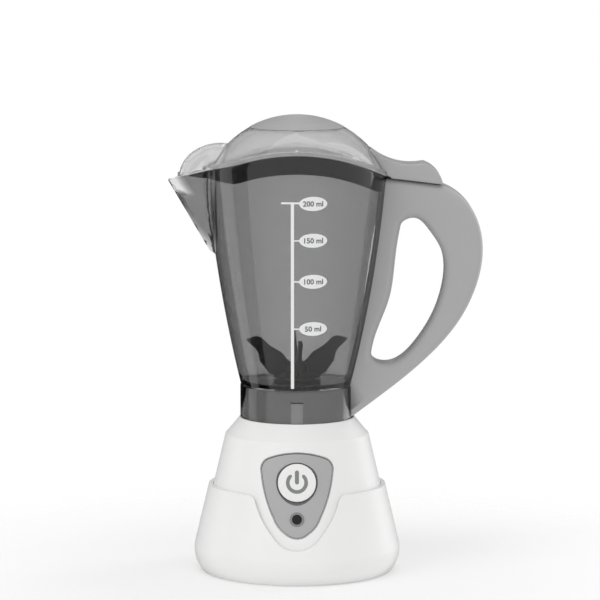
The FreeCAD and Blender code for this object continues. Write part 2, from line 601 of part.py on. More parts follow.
def base_upper_shell():
    """Cone with its deck, the apron behind the V, screw bosses and the panel's seat."""
    body = new_body("upper_shell_blank")
    low = "(notch_low_z - apron_lap)"
    shoulder_in = "(crown_rad - crown_in)"
    shoulder_z = "(crown_z + crown_rise)"
    revolve(body, draw(body, "upper_profile", "XZ_Plane", [
        (cone(low), low),
        ("crown_rad", "crown_z"),
        ("(crown_rad - crown_in / 3)", "(crown_z + crown_rise * 3 / 5)", shoulder_in, shoulder_z),
        ("deck_rad", "deck_z"),
        ("bush_rad", "deck_z"),
        ("bush_rad", "(deck_z - deck_wall)"),
        ("(deck_rad - upper_wall / 2)", "(deck_z - deck_wall)"),
        (f"({shoulder_in} - upper_wall * 3 / 4)", f"({shoulder_z} - upper_wall * 5 / 8)"),
        ("(crown_rad - upper_wall)", "crown_z"),
        (cone(low, "-upper_wall"), low),
    ]))
    pocket(body, draw(body, "rear_trim", "XZ_Plane", box_outline(-TRIM, TRIM, 0, LIP_Z)))
    pocket(body, draw(body, "front_trim", "XZ_Plane", [
        (-TRIM, LIP_Z), (-TRIM, 0), (TRIM, 0), (TRIM, LIP_Z),
        ("(notch_top_half + apron_lap)", NOTCH_TOP),
        *notch_sides("apron_lap"),
    ]), back=True)
    boss_low = f"({FLOOR_TOP} + screw_fit)"
    rods(body, "Additive", "boss", BASE_SCREW_SPOTS, "boss_rad", f"boss_top_z - {boss_low}", boss_low)
    rods(body, "Subtractive", "boss_hole", BASE_SCREW_SPOTS, "screw_rad + screw_fit",
         "floor_recess + sink_depth + base_screw_reach + screw_end_room", 0)
    rods(body, "Additive", "deck_boss", POST_SPOTS, "post_rad",
         f"deck_z - deck_wall / 2 - {GEARBOX_TOP}", GEARBOX_TOP)
    rods(body, "Subtractive", "deck_boss_hole", POST_SPOTS, "screw_rad + screw_fit",
         f"plate_z + gearbox_screw_reach + screw_end_room - {BAY_TOP}", BAY_TOP)
    rods(body, "Subtractive", "collar_hole", COLLAR_SPOTS, "screw_rad + screw_fit", "4 * deck_wall",
         "deck_z - 2 * deck_wall")
    for index, side in enumerate(BOARD_SIDES, start=1):
        slope_rod(body, "Additive", f"board_boss_{index}", "board_boss_rad",
                  "board_depth - upper_wall - panel_seat / 4", side, "-board_screw_drop", "-board_depth")
    for index, side in enumerate(BOARD_SIDES, start=1):
        slope_rod(body, "Subtractive", f"board_boss_hole_{index}", "screw_rad + screw_fit",
                  "board_screw_reach + screw_end_room", side, "-board_screw_drop", "-board_depth - board_wall")
    panel_holes(body, "shell", "panel_fit")
    return keep(cut("base_upper_shell", body, panel_blank("panel_seat_tool", "panel_fit", "2 * panel_proud")))


def control_panel():
    body = panel_blank("control_panel", "0", "panel_proud")
    panel_holes(body, "panel", "panel_fit / 2")
    return keep(body)


def power_button():
    """Cap with a slightly crowned face, a retaining flange behind the panel and a stem."""
    body = new_body("power_button")
    skirt_in = "(button_rad - button_wall)"
    skirt_low = "(-(button_skirt + button_wall))"
    round_z = "(button_proud - button_round)"
    face = "(button_rad - button_round)"
    revolve(body, draw(body, "button_profile", "XZ_Plane", [
        ("0", "(-stem_reach)"),
        ("stem_rad", "(-stem_reach)"),
        ("stem_rad", "(button_proud - button_wall)"),
        (skirt_in, "(button_proud - button_wall)"),
        (skirt_in, skirt_low),
        ("(button_rad + button_flange)", skirt_low),
        ("(button_rad + button_flange)", "(-button_skirt)"),
        ("button_rad", "(-button_skirt)"),
        ("button_rad", round_z),
        ("(button_rad - button_round * 0.29)", f"({round_z} + button_round * 0.71)",
         face, "button_proud"),
        (f"({face} / 2)", f"(button_proud + {crowned(f'{face} / 2', face, 'button_crown')})",
         "0", "(button_proud + button_crown)"),
    ]))
    on_slope(body)
    return keep(body)


def indicator_lens():
    """Dark round window with a thin bezel that lies on the panel."""
    body = new_body("indicator_lens")
    rim = "(indicator_rad + indicator_rim)"
    rim_top = "(panel_proud + indicator_rim_wall)"
    revolve(body, draw(body, "lens_profile", "XZ_Plane", [
        ("0", "(-indicator_depth)"),
        ("indicator_rad", "(-indicator_depth)"),
        ("indicator_rad", "panel_proud"),
        (rim, "panel_proud"),
        (rim, rim_top),
        ("(indicator_rad + indicator_rim / 2)", f"({rim_top} + indicator_rim / 4)", "indicator_rad", rim_top),
        ("(indicator_rad - indicator_rim_wall)", "panel_proud"),
        ("0", "panel_proud"),
    ]))
    on_slope(body, 0, INDICATOR_DROP)
    return keep(body)


# ---------------------------------------------------------------- board, switch and light

def circuit_board():
    body = new_body("circuit_board")
    holes = [("ring", side, "(-board_screw_drop)", "screw_rad + screw_fit") for side in BOARD_SIDES]
    outline = box_outline("(-board_half)", "board_half", "(-board_low)", "board_top")
    pad(body, draw(body, "board_outline", "XY_Plane", outline, *holes), "board_wall", back=True)
    on_slope(body, 0, 0, "-board_depth")
    return keep(body)


def tact_switch():
    body = new_body("tact_switch")
    pad(body, draw(body, "switch_outline", "XY_Plane", centred("switch_half", "switch_half")), "switch_height")
    bore = draw(body, "switch_bore", "XY_Plane", ("ring", 0, 0, "plunger_rad + plunger_fit"),
                lift="switch_height")
    pocket(body, bore, "2 * plunger_depth")
    on_slope(body, 0, 0, "-board_depth")
    return keep(body)


def switch_plunger():
    """Round pin under the button's stem, with its end in the switch."""
    body = new_body("switch_plunger")
    pin = draw(body, "plunger_outline", "XY_Plane", ("ring", 0, 0, "plunger_rad"))
    pad(body, pin, "board_depth - switch_height - stem_reach + plunger_depth", back=True)
    on_slope(body, 0, 0, "-stem_reach")
    return keep(body)


def indicator_light():
    body = new_body("indicator_light")
    top = "(board_depth - indicator_depth - light_gap)"
    revolve(body, draw(body, "light_profile", "XZ_Plane", [
        ("0", "0"),
        ("light_base_rad", "0"),
        ("light_base_rad", "light_base"),
        ("light_rad", "light_base"),
        ("light_rad", f"({top} - light_rad)"),
        ("(light_rad * sqrt(0.5))", f"({top} - light_rad * (1 - sqrt(0.5)))", "0", top),
    ]))
    on_slope(body, 0, INDICATOR_DROP, "-board_depth")
    return keep(body)


def board_screws():
    """Two screws from behind the board into the shell's bosses."""
    def place(rod, index, height):
        on_slope(rod, BOARD_SIDES[index], "-board_screw_drop",
                 f"-board_depth - board_wall - screw_head + {height}")
    return screw_set("board_screws", 2, "screw_head", "screw_head_rad", "board_screw_reach", place)


# ---------------------------------------------------------------- collar

def coupling_collar():
    """Round collar with a central well, a key rib on its front and three screw bosses."""
    body = new_body("coupling_collar")
    revolve(body, draw(body, "collar_profile", "XZ_Plane", [
        ("(collar_rad - collar_wall)", "deck_z"),
        ("collar_rad", "deck_z"),
        ("collar_rad", f"({COLLAR_TOP} - collar_round)"),
        ("(collar_rad - collar_round * 0.29)", f"({COLLAR_TOP} - collar_round * 0.29)",
         "(collar_rad - collar_round)", COLLAR_TOP),
        ("(well_rad + well_round)", COLLAR_TOP),
        ("(well_rad + well_round * 0.29)", f"({COLLAR_TOP} - well_round * 0.29)",
         "well_rad", f"({COLLAR_TOP} - well_round)"),
        ("well_rad", "deck_z"),
        ("(well_rad + well_wall)", "deck_z"),
        ("(well_rad + well_wall)", f"({COLLAR_TOP} - collar_top)"),
        ("(collar_rad - collar_wall)", f"({COLLAR_TOP} - collar_top)"),
    ]))
    shoulder = "(deck_z + key_height - key_top_half)"
    pad(body, draw(body, "key_rib", "XZ_Plane", [
        ("(-key_low_half)", "deck_z"),
        ("key_low_half", "deck_z"),
        ("key_top_half", shoulder),
        ("0", "(deck_z + key_height)", "(-key_top_half)", shoulder),
    ], lift="collar_rad - collar_wall / 2"), "collar_wall / 2 + key_proud")
    rods(body, "Additive", "collar_boss", COLLAR_SPOTS, "collar_boss_rad", "collar_height - collar_top / 2", "deck_z")
    rods(body, "Subtractive", "collar_boss_hole", COLLAR_SPOTS, "screw_rad + screw_fit",
         "collar_screw_reach + screw_end_room", "deck_z")
    return keep(body)


# ---------------------------------------------------------------- gear train

def tooth_angle(radius, teeth):
    """Half the angle that a tooth spans at a radius, on an involute flank."""
    pressure = math.radians(20)
    pitch_radius = value("gear_module") * teeth / 2
    base = pitch_radius * math.cos(pressure)
    here = math.acos(min(1, base / radius))
    flank = (math.tan(pressure) - pressure) - (math.tan(here) - here)
    return math.pi / (2 * teeth) - value("tooth_thin") / pitch_radius / 2 + flank


def gear_disc(teeth, low, high, phase, bore):
    """A spur gear about the upright axis, with the middle of one tooth at the phase angle."""
    module = value("gear_module")
    pitch_radius = module * teeth / 2
    base = pitch_radius * math.cos(math.radians(20))
    tip = pitch_radius + module * value("tooth_addendum")
    root = pitch_radius - module * value("tooth_dedendum")
    flank_start = max(base, root)

    def spot(radius, angle):
        return Vector(radius * math.cos(angle), radius * math.sin(angle), low)

    edges = []
    pitch_angle = 2 * math.pi / teeth
    radii = [flank_start + (tip - flank_start) * step / 5 for step in range(6)]
    for number in range(teeth):
        middle = phase + number * pitch_angle
        rising = [spot(radius, middle - tooth_angle(radius, teeth)) for radius in radii]
        falling = [spot(radius, middle + tooth_angle(radius, teeth)) for radius in reversed(radii)]
        start_angle = middle - tooth_angle(flank_start, teeth)
        end_angle = middle + tooth_angle(flank_start, teeth)
        next_angle = start_angle + pitch_angle
        if base > root:
            edges.append(Part.makeLine(spot(root, start_angle), rising[0]))
        curve = Part.BSplineCurve()
        curve.interpolate(rising)
        edges.append(curve.toShape())
        edges.append(Part.Arc(rising[-1], spot(tip, middle), falling[0]).toShape())
        curve = Part.BSplineCurve()
        curve.interpolate(falling)
        edges.append(curve.toShape())
        if base > root:
            edges.append(Part.makeLine(falling[-1], spot(root, end_angle)))
        gap_middle = (end_angle + next_angle) / 2
        edges.append(Part.Arc(spot(root, end_angle), spot(root, gap_middle), spot(root, next_angle)).toShape())
    face = Part.Face(Part.Wire(edges))
    blank = face.extrude(Vector(0, 0, high - low))
    return blank.cut(Part.makeCylinder(bore, 2 * TRIM, Vector(0, 0, -TRIM)))


def hub(radius, bore, low, high):
    outer = Part.makeCylinder(radius, high - low, Vector(0, 0, low))
    return outer.cut(Part.makeCylinder(bore, 2 * TRIM, Vector(0, 0, -TRIM)))


OUTPUT_PHASE = math.atan2(value(IDLER_Y), value(IDLER_X))
WHEEL_PHASE = math.atan2(value("motor_offset") - value(IDLER_Y), -value(IDLER_X))


def idler_gear():
    """Large wheel driven by the motor pinion, with the small pinion that drives the output."""
    bore = value("pin_rad + shaft_fit")
    wheel = gear_disc(int(value("idler_teeth")), value(WHEEL_LOW), value(WHEEL_TOP), WHEEL_PHASE, bore)
    teeth = int(value("idler_pinion_teeth"))
    pinion = gear_disc(teeth, value(WHEEL_TOP), value(f"{OUTPUT_TOP} + gear_step / 2"),
                       OUTPUT_PHASE + math.pi + math.pi / teeth, bore)
    low_hub = hub(value("idler_hub_rad"), bore, value(f"{BAY_LOW} + gear_end_gap"), value(WHEEL_LOW))
    feature = worked_out("idler_gear", wheel.fuse([pinion, low_hub]).removeSplitter())
    move(feature, IDLER_X, IDLER_Y)
    return keep(feature)


def output_gear():
    bore = value("shaft_rad")
    teeth = int(value("output_teeth"))
    wheel = gear_disc(teeth, value(OUTPUT_LOW), value(OUTPUT_TOP), OUTPUT_PHASE, bore)
    low_hub = hub(value("output_hub_rad"), bore, value(f"{BAY_LOW} + gear_end_gap"), value(OUTPUT_LOW))
    top_hub = hub(value("output_hub_rad"), bore, value(OUTPUT_TOP), value(f"{BAY_TOP} - gear_end_gap"))
    return keep(worked_out("output_gear", wheel.fuse([low_hub, top_hub]).removeSplitter()))


def motor_pinion():
    teeth = int(value("pinion_teeth"))
    low = value(f"{BAY_LOW} + gear_end_gap")
    high = value(f"{WHEEL_TOP} + gear_step")
    disc = gear_disc(teeth, low, high, WHEEL_PHASE + math.pi + math.pi / teeth, value("pin_rad"))
    feature = worked_out("motor_pinion", disc)
    move(feature, 0, "motor_offset")
    return keep(feature)


def upright_pin(label, radius, low, high, across=0, deep=0):
    body = new_body(label)
    pad(body, draw(body, label + "_section", "XY_Plane", ("ring", 0, 0, radius)), f"{high} - {low}")
    move(body, across, deep, low)
    return keep(body)


def plate_outline():
    """Round plate with a straight front edge that clears the circuit board."""
    half = "sqrt(plate_rad^2 - plate_front^2)"
    return [(half, "(-plate_front)"), (0, "plate_rad", f"(-{half})", "(-plate_front)")]


def gearbox_lower_plate():
    """Plate with three posts above it and the motor's cradle arms below it."""
    body = new_body("gearbox_lower_plate")
    pad(body, draw(body, "lower_plate_outline", "XY_Plane", plate_outline(), lift="plate_z"), "plate_wall")
    rods(body, "Additive", "post", POST_SPOTS, "post_rad", "plate_wall + bay_height", "plate_z")
    arm_in = "(motor_flat + cradle_fit)"
    arm_out = "(motor_flat + cradle_fit + cradle_wall)"
    for name, near, far in (("front_arm", f"motor_offset - {arm_out}", f"motor_offset - {arm_in}"),
                            ("rear_arm", f"motor_offset + {arm_in}", f"motor_offset + {arm_out}")):
        outline = box_outline("(-cradle_half)", "cradle_half", near, far)
        pad(body, draw(body, name, "XY_Plane", outline, lift="plate_z + plate_wall / 2"),
            "cradle_drop + plate_wall / 2", back=True)
    lug = box_outline("(-cradle_half)", "cradle_half", "motor_offset", f"motor_offset + {arm_out}")
    pad(body, draw(body, "rear_lug", "XY_Plane", lug, lift="plate_z"), "plate_wall")
    rods(body, "Subtractive", "post_hole", POST_SPOTS, "screw_rad + screw_fit", TRIM, 0)
    rods(body, "Subtractive", "motor_boss_hole", [("0", "motor_offset")], "motor_boss_rad + cradle_fit", TRIM, 0)
    rods(body, "Subtractive", "axle_seat", [(IDLER_X, IDLER_Y)], "pin_rad", TRIM, 0)
    rods(body, "Subtractive", "output_seat", [("0", "0")], "shaft_rad + shaft_fit", TRIM, 0)
    return keep(body)


def gearbox_upper_plate():
    body = new_body("gearbox_upper_plate")
    pad(body, draw(body, "upper_plate_outline", "XY_Plane", plate_outline(), lift=BAY_TOP), "plate_wall")
    rods(body, "Subtractive", "plate_hole", POST_SPOTS, "screw_rad + screw_fit", TRIM, 0)
    rods(body, "Subtractive", "upper_axle_seat", [(IDLER_X, IDLER_Y)], "pin_rad", TRIM, 0)
    rods(body, "Subtractive", "upper_output_hole", [("0", "0")], "shaft_rad + 4 * shaft_fit", TRIM, 0)
    return keep(body)


# ---------------------------------------------------------------- motor

def motor_outline(inset=0):
    """Round can with two flats."""
    radius = f"(motor_rad - {inset})"
    flat = f"(motor_flat - {inset})"
    half = f"sqrt({radius}^2 - {flat}^2)"
    return [
        (half, f"(-{flat})"),
        (radius, 0, half, flat),
        (f"(-{half})", flat),
        (f"(-{radius})", 0, f"(-{half})", f"(-{flat})"),
    ]


def motor_can():
    body = new_body("motor_can")
    pad(body, draw(body, "can_outline", "XY_Plane", motor_outline()), "motor_can_len", back=True)
    rods(body, "Additive", "can_boss", [("0", "0")], "motor_boss_rad", "motor_boss + 1", -1)
    rods(body, "Subtractive", "can_bore", [("0", "0")], "pin_rad + shaft_fit", 2 * TRIM, -TRIM)
    move(body, 0, "motor_offset", "plate_z")
    return keep(body)


def motor_end_cap():
    body = new_body("motor_end_cap")
    pad(body, draw(body, "cap_outline", "XY_Plane", motor_outline("motor_cap_in")), "motor_cap_len", back=True)
    rods(body, "Subtractive", "cap_bore", [("0", "0")], "pin_rad + shaft_fit", "motor_cap_len / 2",
         "-motor_cap_len / 2")
    move(body, 0, "motor_offset", "plate_z - motor_can_len")
    return keep(body)


TERMINAL_Z = "(plate_z - motor_can_len - motor_cap_len + terminal_lift)"
TERMINAL_Y = "(motor_offset - motor_flat + motor_cap_in)"


def motor_terminals():
    """Two flat solder tabs on the front of the motor's end cap."""
    tabs = []
    for index, side in enumerate(("", "-"), start=1):
        tab = doc.addObject("Part::Box", f"motor_terminal_{index}")
        tab.setExpression("Length", ref("2 * terminal_half"))
        tab.setExpression("Width", ref("terminal_reach"))
        tab.setExpression("Height", ref("terminal_wall"))
        move(tab, f"{side}terminal_x - terminal_half", f"{TERMINAL_Y} - terminal_reach", TERMINAL_Z)
        tabs.append(tab)
    return group("motor_terminals", tabs)


# ---------------------------------------------------------------- output drive

def output_bush():
    body = new_body("output_bush")
    bore = "(shaft_rad + shaft_fit)"
    low = "(deck_z - deck_wall - bush_drop)"
    revolve(body, draw(body, "output_bush_profile", "XZ_Plane", [
        (bore, low),
        ("bush_rad", low),
        ("bush_rad", "deck_z"),
        ("bush_flange_rad", "deck_z"),
        ("bush_flange_rad", "(deck_z + bush_flange)"),
        (bore, "(deck_z + bush_flange)"),
    ]))
    return keep(body)


def cross_outlines(grow=0):
    """Two crossed bars, the dog's lobes or the socket that takes them."""
    reach = f"(dog_lobe_rad + {grow})"
    half = f"(dog_lobe_half + {grow})"
    return centred(reach, half), centred(half, reach)


def drive_dog():
    """Hub with four lobes that drives the jug's coupling."""
    body = new_body("drive_dog")
    rods(body, "Additive", "dog_hub", [("0", "0")], "dog_hub_rad", "dog_height", DOG_LOW)
    for name, bar in zip(("dog_bar_x", "dog_bar_y"), cross_outlines()):
        pad(body, draw(body, name, "XY_Plane", bar, lift=DOG_LOW), "dog_height")
    rods(body, "Subtractive", "dog_bore", [("0", "0")], "shaft_rad", "dog_height - shaft_sink", DOG_LOW)
    return keep(body)


def jug_coupling():
    """Round coupling under the jug, with a cross-shaped socket open below."""
    body = new_body("jug_coupling")
    rods(body, "Additive", "coupling_drum", [("0", "0")], "coupling_rad", f"{COUPLING_TOP} - {COUPLING_LOW}",
         COUPLING_LOW)
    depth = f"{SOCKET_TOP} - {COUPLING_LOW}"
    rods(body, "Subtractive", "socket_hub", [("0", "0")], "dog_hub_rad + dog_fit", depth, COUPLING_LOW)
    for name, bar in zip(("socket_bar_x", "socket_bar_y"), cross_outlines("dog_fit")):
        pocket(body, draw(body, name, "XY_Plane", bar, lift=COUPLING_LOW), depth, back=True)
    rods(body, "Subtractive", "coupling_bore", [("0", "0")], "shaft_rad", TRIM, COUPLING_LOW)
    return keep(body)


# ---------------------------------------------------------------- batteries

def battery_tray():
    """Box over the two cells, open below, with a flange that lies on the base's floor."""
    body = new_body("battery_tray")
    outer = centred(f"({TRAY_HALF_X} + tray_wall)", f"({TRAY_HALF_Y} + tray_wall)")
    flange = centred(f"({TRAY_HALF_X} + tray_wall + tray_flange)", f"({TRAY_HALF_Y} + tray_wall + tray_flange)")
    pad(body, draw(body, "tray_outline", "XY_Plane", outer, lift=FLOOR_TOP),
        f"{TRAY_ROOF} + tray_wall - {FLOOR_TOP}")
    pad(body, draw(body, "tray_flange_outline", "XY_Plane", flange, lift=FLOOR_TOP), "tray_flange_wall")
    pocket(body, draw(body, "tray_inside", "XY_Plane", centred(TRAY_HALF_X, TRAY_HALF_Y), lift=FLOOR_TOP),
           f"{TRAY_ROOF} - {FLOOR_TOP}", back=True)
    rods(body, "Subtractive", "door_boss_relief", [("door_screw_x", "0")], "door_boss_rad + tray_gap",
         "tray_flange_wall * 2", FLOOR_TOP)
    return keep(body)


def battery_cell(label, side, turn):
    """One round cell lying along X, its nub towards the end that turn points to."""
    body = new_body(label)
    shoulder = "(cell_len - nub_len)"
    revolve(body, draw(body, label + "_profile", "XZ_Plane", [
        ("0", "0"),
        ("cell_rad", "0"),
        ("cell_rad", shoulder),
        ("nub_rad", shoulder),
        ("nub_rad", "cell_len"),
        ("0", "cell_len"),
    ]))
    body.Placement = Placement(Vector(), Rotation(Vector(0, 1, 0), 90 * turn))
    start = f"({TRAY_HALF_X} - contact_wall - cell_len)"
    move(body, f"{turn} * {start}", f"{side} * {CELL_Y}", CELL_Z)
    return keep(body)


def contact_plates():
    """Two single plates at the +X end and one double plate at the -X end."""
    plates = []
    for index, (half, across, side) in enumerate((
        ("contact_half", 1, 1), ("contact_half", 1, -1), (f"(contact_half + {CELL_Y})", -1, 0),
    ), start=1):
        plate = doc.addObject("Part::Box", f"contact_plate_{index}")
        plate.setExpression("Length", ref("contact_wall"))
        plate.setExpression("Width", ref(f"2 * {half}"))
        plate.setExpression("Height", ref("contact_height"))
        move(plate, f"{across} * ({TRAY_HALF_X} - contact_wall / 2) - contact_wall / 2",
             f"{side} * {CELL_Y} - {half}", f"{CELL_Z} - contact_height / 2")
        plates.append(plate)
    return group("contact_plates", plates)


def contact_springs():
    """A bowed leaf spring between the flat end of each cell and its contact plate."""
    members = []
    for index, turn in enumerate((1, -1), start=1):
        leaf = new_body(f"contact_spring_{index}")
        pad(leaf, draw(leaf, f"leaf_{index}", "XZ_Plane", [
            ("0", "(-leaf_half)"),
            ("spring_room", "0", "0", "leaf_half"),
            ("0", "(leaf_half - leaf_foot)"),
            ("(spring_room - contact_wall)", "0", "0", "(-(leaf_half - leaf_foot))"),
        ]), "2 * leaf_side", both=True)
        leaf.Placement = Placement(Vector(), Rotation(Vector(0, 0, 1), 90 - 90 * turn))
        move(leaf, f"-{turn} * ({TRAY_HALF_X} - contact_wall)", f"{turn} * {CELL_Y}", CELL_Z)
        members.append(leaf)
    return group("contact_springs", members)


def battery_door():
    """Flat door in the floor with a screw tongue and two ribs that press on the cells."""
    body = new_body("battery_door")
    pad(body, draw(body, "door_plate", "XY_Plane", door_outline("door_fit"), lift="floor_recess"), "door_wall")
    pad(body, draw(body, "door_tongue", "XY_Plane", tongue_outline("door_fit"), lift="floor_recess"), "tongue_wall")
    for name, across in (("door_rib_right", "door_rib_x"), ("door_rib_left", "-door_rib_x")):
        rib = box_outline(f"({across} - door_rib_half)", f"({across} + door_rib_half)",
                          f"(-({TRAY_HALF_Y} - door_rib_end))", f"({TRAY_HALF_Y} - door_rib_end)")
        pad(body, draw(body, name, "XY_Plane", rib, lift="floor_recess"), "door_wall + door_rib_height")
    rods(body, "Subtractive", "tongue_hole", [("door_screw_x", "0")], "screw_rad + screw_fit", TRIM, 0)
    return keep(body)


# ---------------------------------------------------------------- leads

def lead_tube(points, radius):
    """A round lead along straight runs joined by tangent arcs."""
    runs = []
    here = points[0]
    for before, corner, after in zip(points, points[1:], points[2:]):
        back = (before - corner).normalize()
        ahead = (after - corner).normalize()
        half_angle = back.getAngle(ahead) / 2
        reach = 0.45 * min(corner.distanceToPoint(before), corner.distanceToPoint(after))
        dip = reach * (1 - math.sin(half_angle)) / math.cos(half_angle)
        middle = corner + (back + ahead).normalize() * dip
        leave = corner + ahead * reach
        runs.append(Part.makeLine(here, corner + back * reach))
        runs.append(Part.Arc(corner + back * reach, middle, leave).toShape())
        here = leave
    runs.append(Part.makeLine(here, points[-1]))
    section = Part.Wire(Part.makeCircle(radius, points[0], points[1] - points[0]))
    return Part.Wire(runs).makePipeShell([section], True, False)


def board_back(across, along, off):
    """A point behind the circuit board, off millimetres from its back face."""
    out = value(f"-board_depth - board_wall - {off}")
    sine, cosine = value(SIN_TILT), value(COS_TILT)
    deep = -value(cone("button_z")) + along * sine - out * cosine
    return Vector(across, deep, value("button_z") + along * cosine + out * sine)


def leads():
    """Two leads from the board to the motor and two from the battery contacts to the board."""
    radius = value("lead_rad")
    tab_tip = value(f"{TERMINAL_Y} - terminal_reach")
    tab_z = value(f"{TERMINAL_Z} + terminal_wall / 2")
    tray_x = value(TRAY_HALF_X)
    tray_y = value(CELL_Y)
    roof = value(f"{TRAY_ROOF} + tray_wall")
    members = []
    for index, side in enumerate((1, -1), start=1):
        across = side * value("terminal_x")
        motor_lead = [
            Vector(across, tab_tip, tab_z),
            Vector(across, tab_tip - 7, tab_z + 0.6),
            Vector(across + side * 0.6, tab_tip - 15, tab_z + 3),
            board_back(across + side * 0.6, -9, 6),
            board_back(across + side * 0.6, -9, 0),
        ]
        members.append(worked_out(f"motor_lead_{index}", lead_tube(motor_lead, radius)))
    low_path = [
        Vector(tray_x - 2, -tray_y, roof),
        Vector(tray_x - 2, -tray_y, roof + 4),
        Vector(tray_x - 10, -tray_y - 5, roof + 5),
        board_back(8.6, -17.5, 7),
        board_back(8.6, -17.5, 0),
    ]
    far_path = [
        Vector(tray_x - 2, tray_y, roof),
        Vector(tray_x - 2, tray_y, roof + 4),
        Vector(tray_x - 9, tray_y - 8, roof + 5),
        Vector(tray_x - 19, -tray_y - 1, roof + 4.5),
        board_back(6.0, -17.5, 7),
        board_back(6.0, -17.5, 0),
    ]
    members.append(worked_out("battery_lead_1", lead_tube(low_path, radius)))
    members.append(worked_out("battery_lead_2", lead_tube(far_path, radius)))
    return group("leads", members)


# ---------------------------------------------------------------- jug

def jug_wall_outline(inset, low, centre_radius="0", high="mouth_height"):
    """The cup's wall from a low height to above the mouth, moved inwards, closed on an axis
    distance: a gentle arc from the neck through the waist to the mouth."""
    return [
        (centre_radius, low),
        (f"(neck_rad - {inset})", low),
        (f"(waist_rad - {inset})", "(deck_z + waist_height)", f"(mouth_rad - {inset})", f"(deck_z + {high})"),
        (centre_radius, f"(deck_z + {high})"),
    ]


def spout_plan(body, name, height, inset=0):
    """The spout's section at a height: a wedge with a rounded tip that widens upwards."""
    rise = f"(({height} - deck_z - spout_root) / (spout_tip - spout_root))"
    tip = f"(spout_root_rad + (spout_reach - spout_root_rad) * {rise} - {inset} * 5 / 4)"
    half = f"(spout_root_half + (spout_half - spout_root_half) * {rise} - {inset} * 5 / 4)"
    tip_half = f"(spout_root_half / 2 + (spout_tip_half - spout_root_half / 2) * {rise} - {inset} / 2)"
    inside = "(-spout_inside)"
    side = f"(-({tip} - spout_round * ({rise} + 0.1)))"
    return draw(body, name, "XY_Plane", [
        (inside, f"(-{half})"),
        (inside, half),
        (side, tip_half),
        (f"(-{tip})", "0", side, f"(-{tip_half})"),
    ], lift=height)


def spout_wedge(body, kind, name, low, inset=0):
    foot = spout_plan(body, name + "_foot", low, inset)
    crest = spout_plan(body, name + "_crest", "(deck_z + mouth_height)", inset)
    return loft(body, kind, foot, crest)


def above_rim(lift, left, end="rim_end"):
    """Everything above the jug's rim line, raised by lift."""
    return [
        (end, TRIM * 2),
        (f"(-({left}))", TRIM * 2),
        (f"(-({left}))", spout_rim(left, lift)),
        ("(-spout_start)", arch("spout_start", lift)),
        (0, arch(0, lift), end, arch(end, lift)),
    ]


def jug_body():
    """Cup with a pouring spout, an arched rim, a floor and the skirt that fits the collar."""
    body = new_body("jug_body")
    revolve(body, draw(body, "jug_outside", "XZ_Plane", [
        ("0", "deck_z"),
        ("skirt_rad", "deck_z"),
        ("skirt_rad", SKIRT_TOP),
        *jug_wall_outline("0", SKIRT_TOP)[1:],
    ]))
    spout_wedge(body, "Additive", "spout_outside", "(deck_z + spout_root)")
    groove(body, draw(body, "jug_inside", "XZ_Plane", jug_wall_outline("jug_wall", JUG_FLOOR_TOP)))
    spout_wedge(body, "Subtractive", "spout_cavity", "(deck_z + spout_root + 4 * jug_wall)", "jug_wall")
    groove(body, draw(body, "skirt_inside", "XZ_Plane", [
        ("0", "deck_z"), (SKIRT_IN, "deck_z"), (SKIRT_IN, JUG_FLOOR_LOW), ("0", JUG_FLOOR_LOW),
    ]))
    rods(body, "Subtractive", "jug_bush_hole", [("0", "0")], "jug_bush_rad", "3 * jug_floor",
         f"{JUG_FLOOR_LOW} - jug_floor")
    shoulder = "(deck_z + key_height - key_top_half)"
    pocket(body, draw(body, "key_groove", "XZ_Plane", [
        ("(-(key_low_half + key_fit))", "deck_z"),
        ("(key_low_half + key_fit)", "deck_z"),
        ("(key_top_half + key_fit)", f"({shoulder} + key_fit)"),
        ("0", "(deck_z + key_height + key_fit)", "(-(key_top_half + key_fit))", f"({shoulder} + key_fit)"),
    ], lift="collar_rad + key_proud + key_fit"), "collar_wall")
    pocket(body, draw(body, "rim_cut", "XZ_Plane", above_rim(0, "70")), both=True)
    return keep(body)


def smooth_curve(points, closed=False):
    curve = Part.BSplineCurve()
    curve.interpolate(points, closed)
    return curve.toShape()


def handle():
    """D-shaped handle whose inner side follows the jug's wall and skirt."""
    half = value("handle_half")

    def at(*names):
        return [Vector(value(name), -half, value(f"deck_z + {name}_up")) for name in names]

    root = value("handle_root")
    crest_end = Vector(value("handle_top_end"), -half, value(handle_crest("handle_top_end")))
    crest_start = Vector(root, -half, value(handle_crest("handle_root")))
    low, foot = at("handle_low", "handle_foot")
    tail = foot + (foot - low) * value("handle_tail")
    back = at("handle_shoulder", "handle_far", "handle_back", "handle_knee", "handle_elbow")
    outside = Part.Wire([
        Part.makeLine(crest_start, crest_end),
        smooth_curve([crest_end, *back, low, foot, tail]),
        Part.makeLine(tail, Vector(root, -half, tail.z)),
        Part.makeLine(Vector(root, -half, tail.z), crest_start),
    ])
    opening = Part.Wire(smooth_curve(at(
        "grip_top", "grip_side", "grip_mid", "grip_low", "grip_corner", "grip_base", "grip_out",
        "grip_far", "grip_bend", "grip_turn", "grip_crest"), closed=True))
    side = Part.Face([outside, opening])
    side.validate()
    block = side.extrude(Vector(0, 2 * half, 0))
    for inner in (False, True):
        rounded = [edge for edge in block.Edges if grip_edge(edge) == inner and side_edge(edge, half)]
        block = block.makeFillet(value("handle_round"), rounded)
    blank = worked_out("handle_blank", block)
    seat = new_body("handle_seat_tool")
    revolve(seat, draw(seat, "handle_seat", "XZ_Plane", [
        ("0", "(deck_z - skirt_height)"),
        ("skirt_rad", "(deck_z - skirt_height)"),
        ("skirt_rad", SKIRT_TOP),
        *jug_wall_outline("0", SKIRT_TOP)[1:],
    ]))
    return keep(cut("handle", blank, seat))


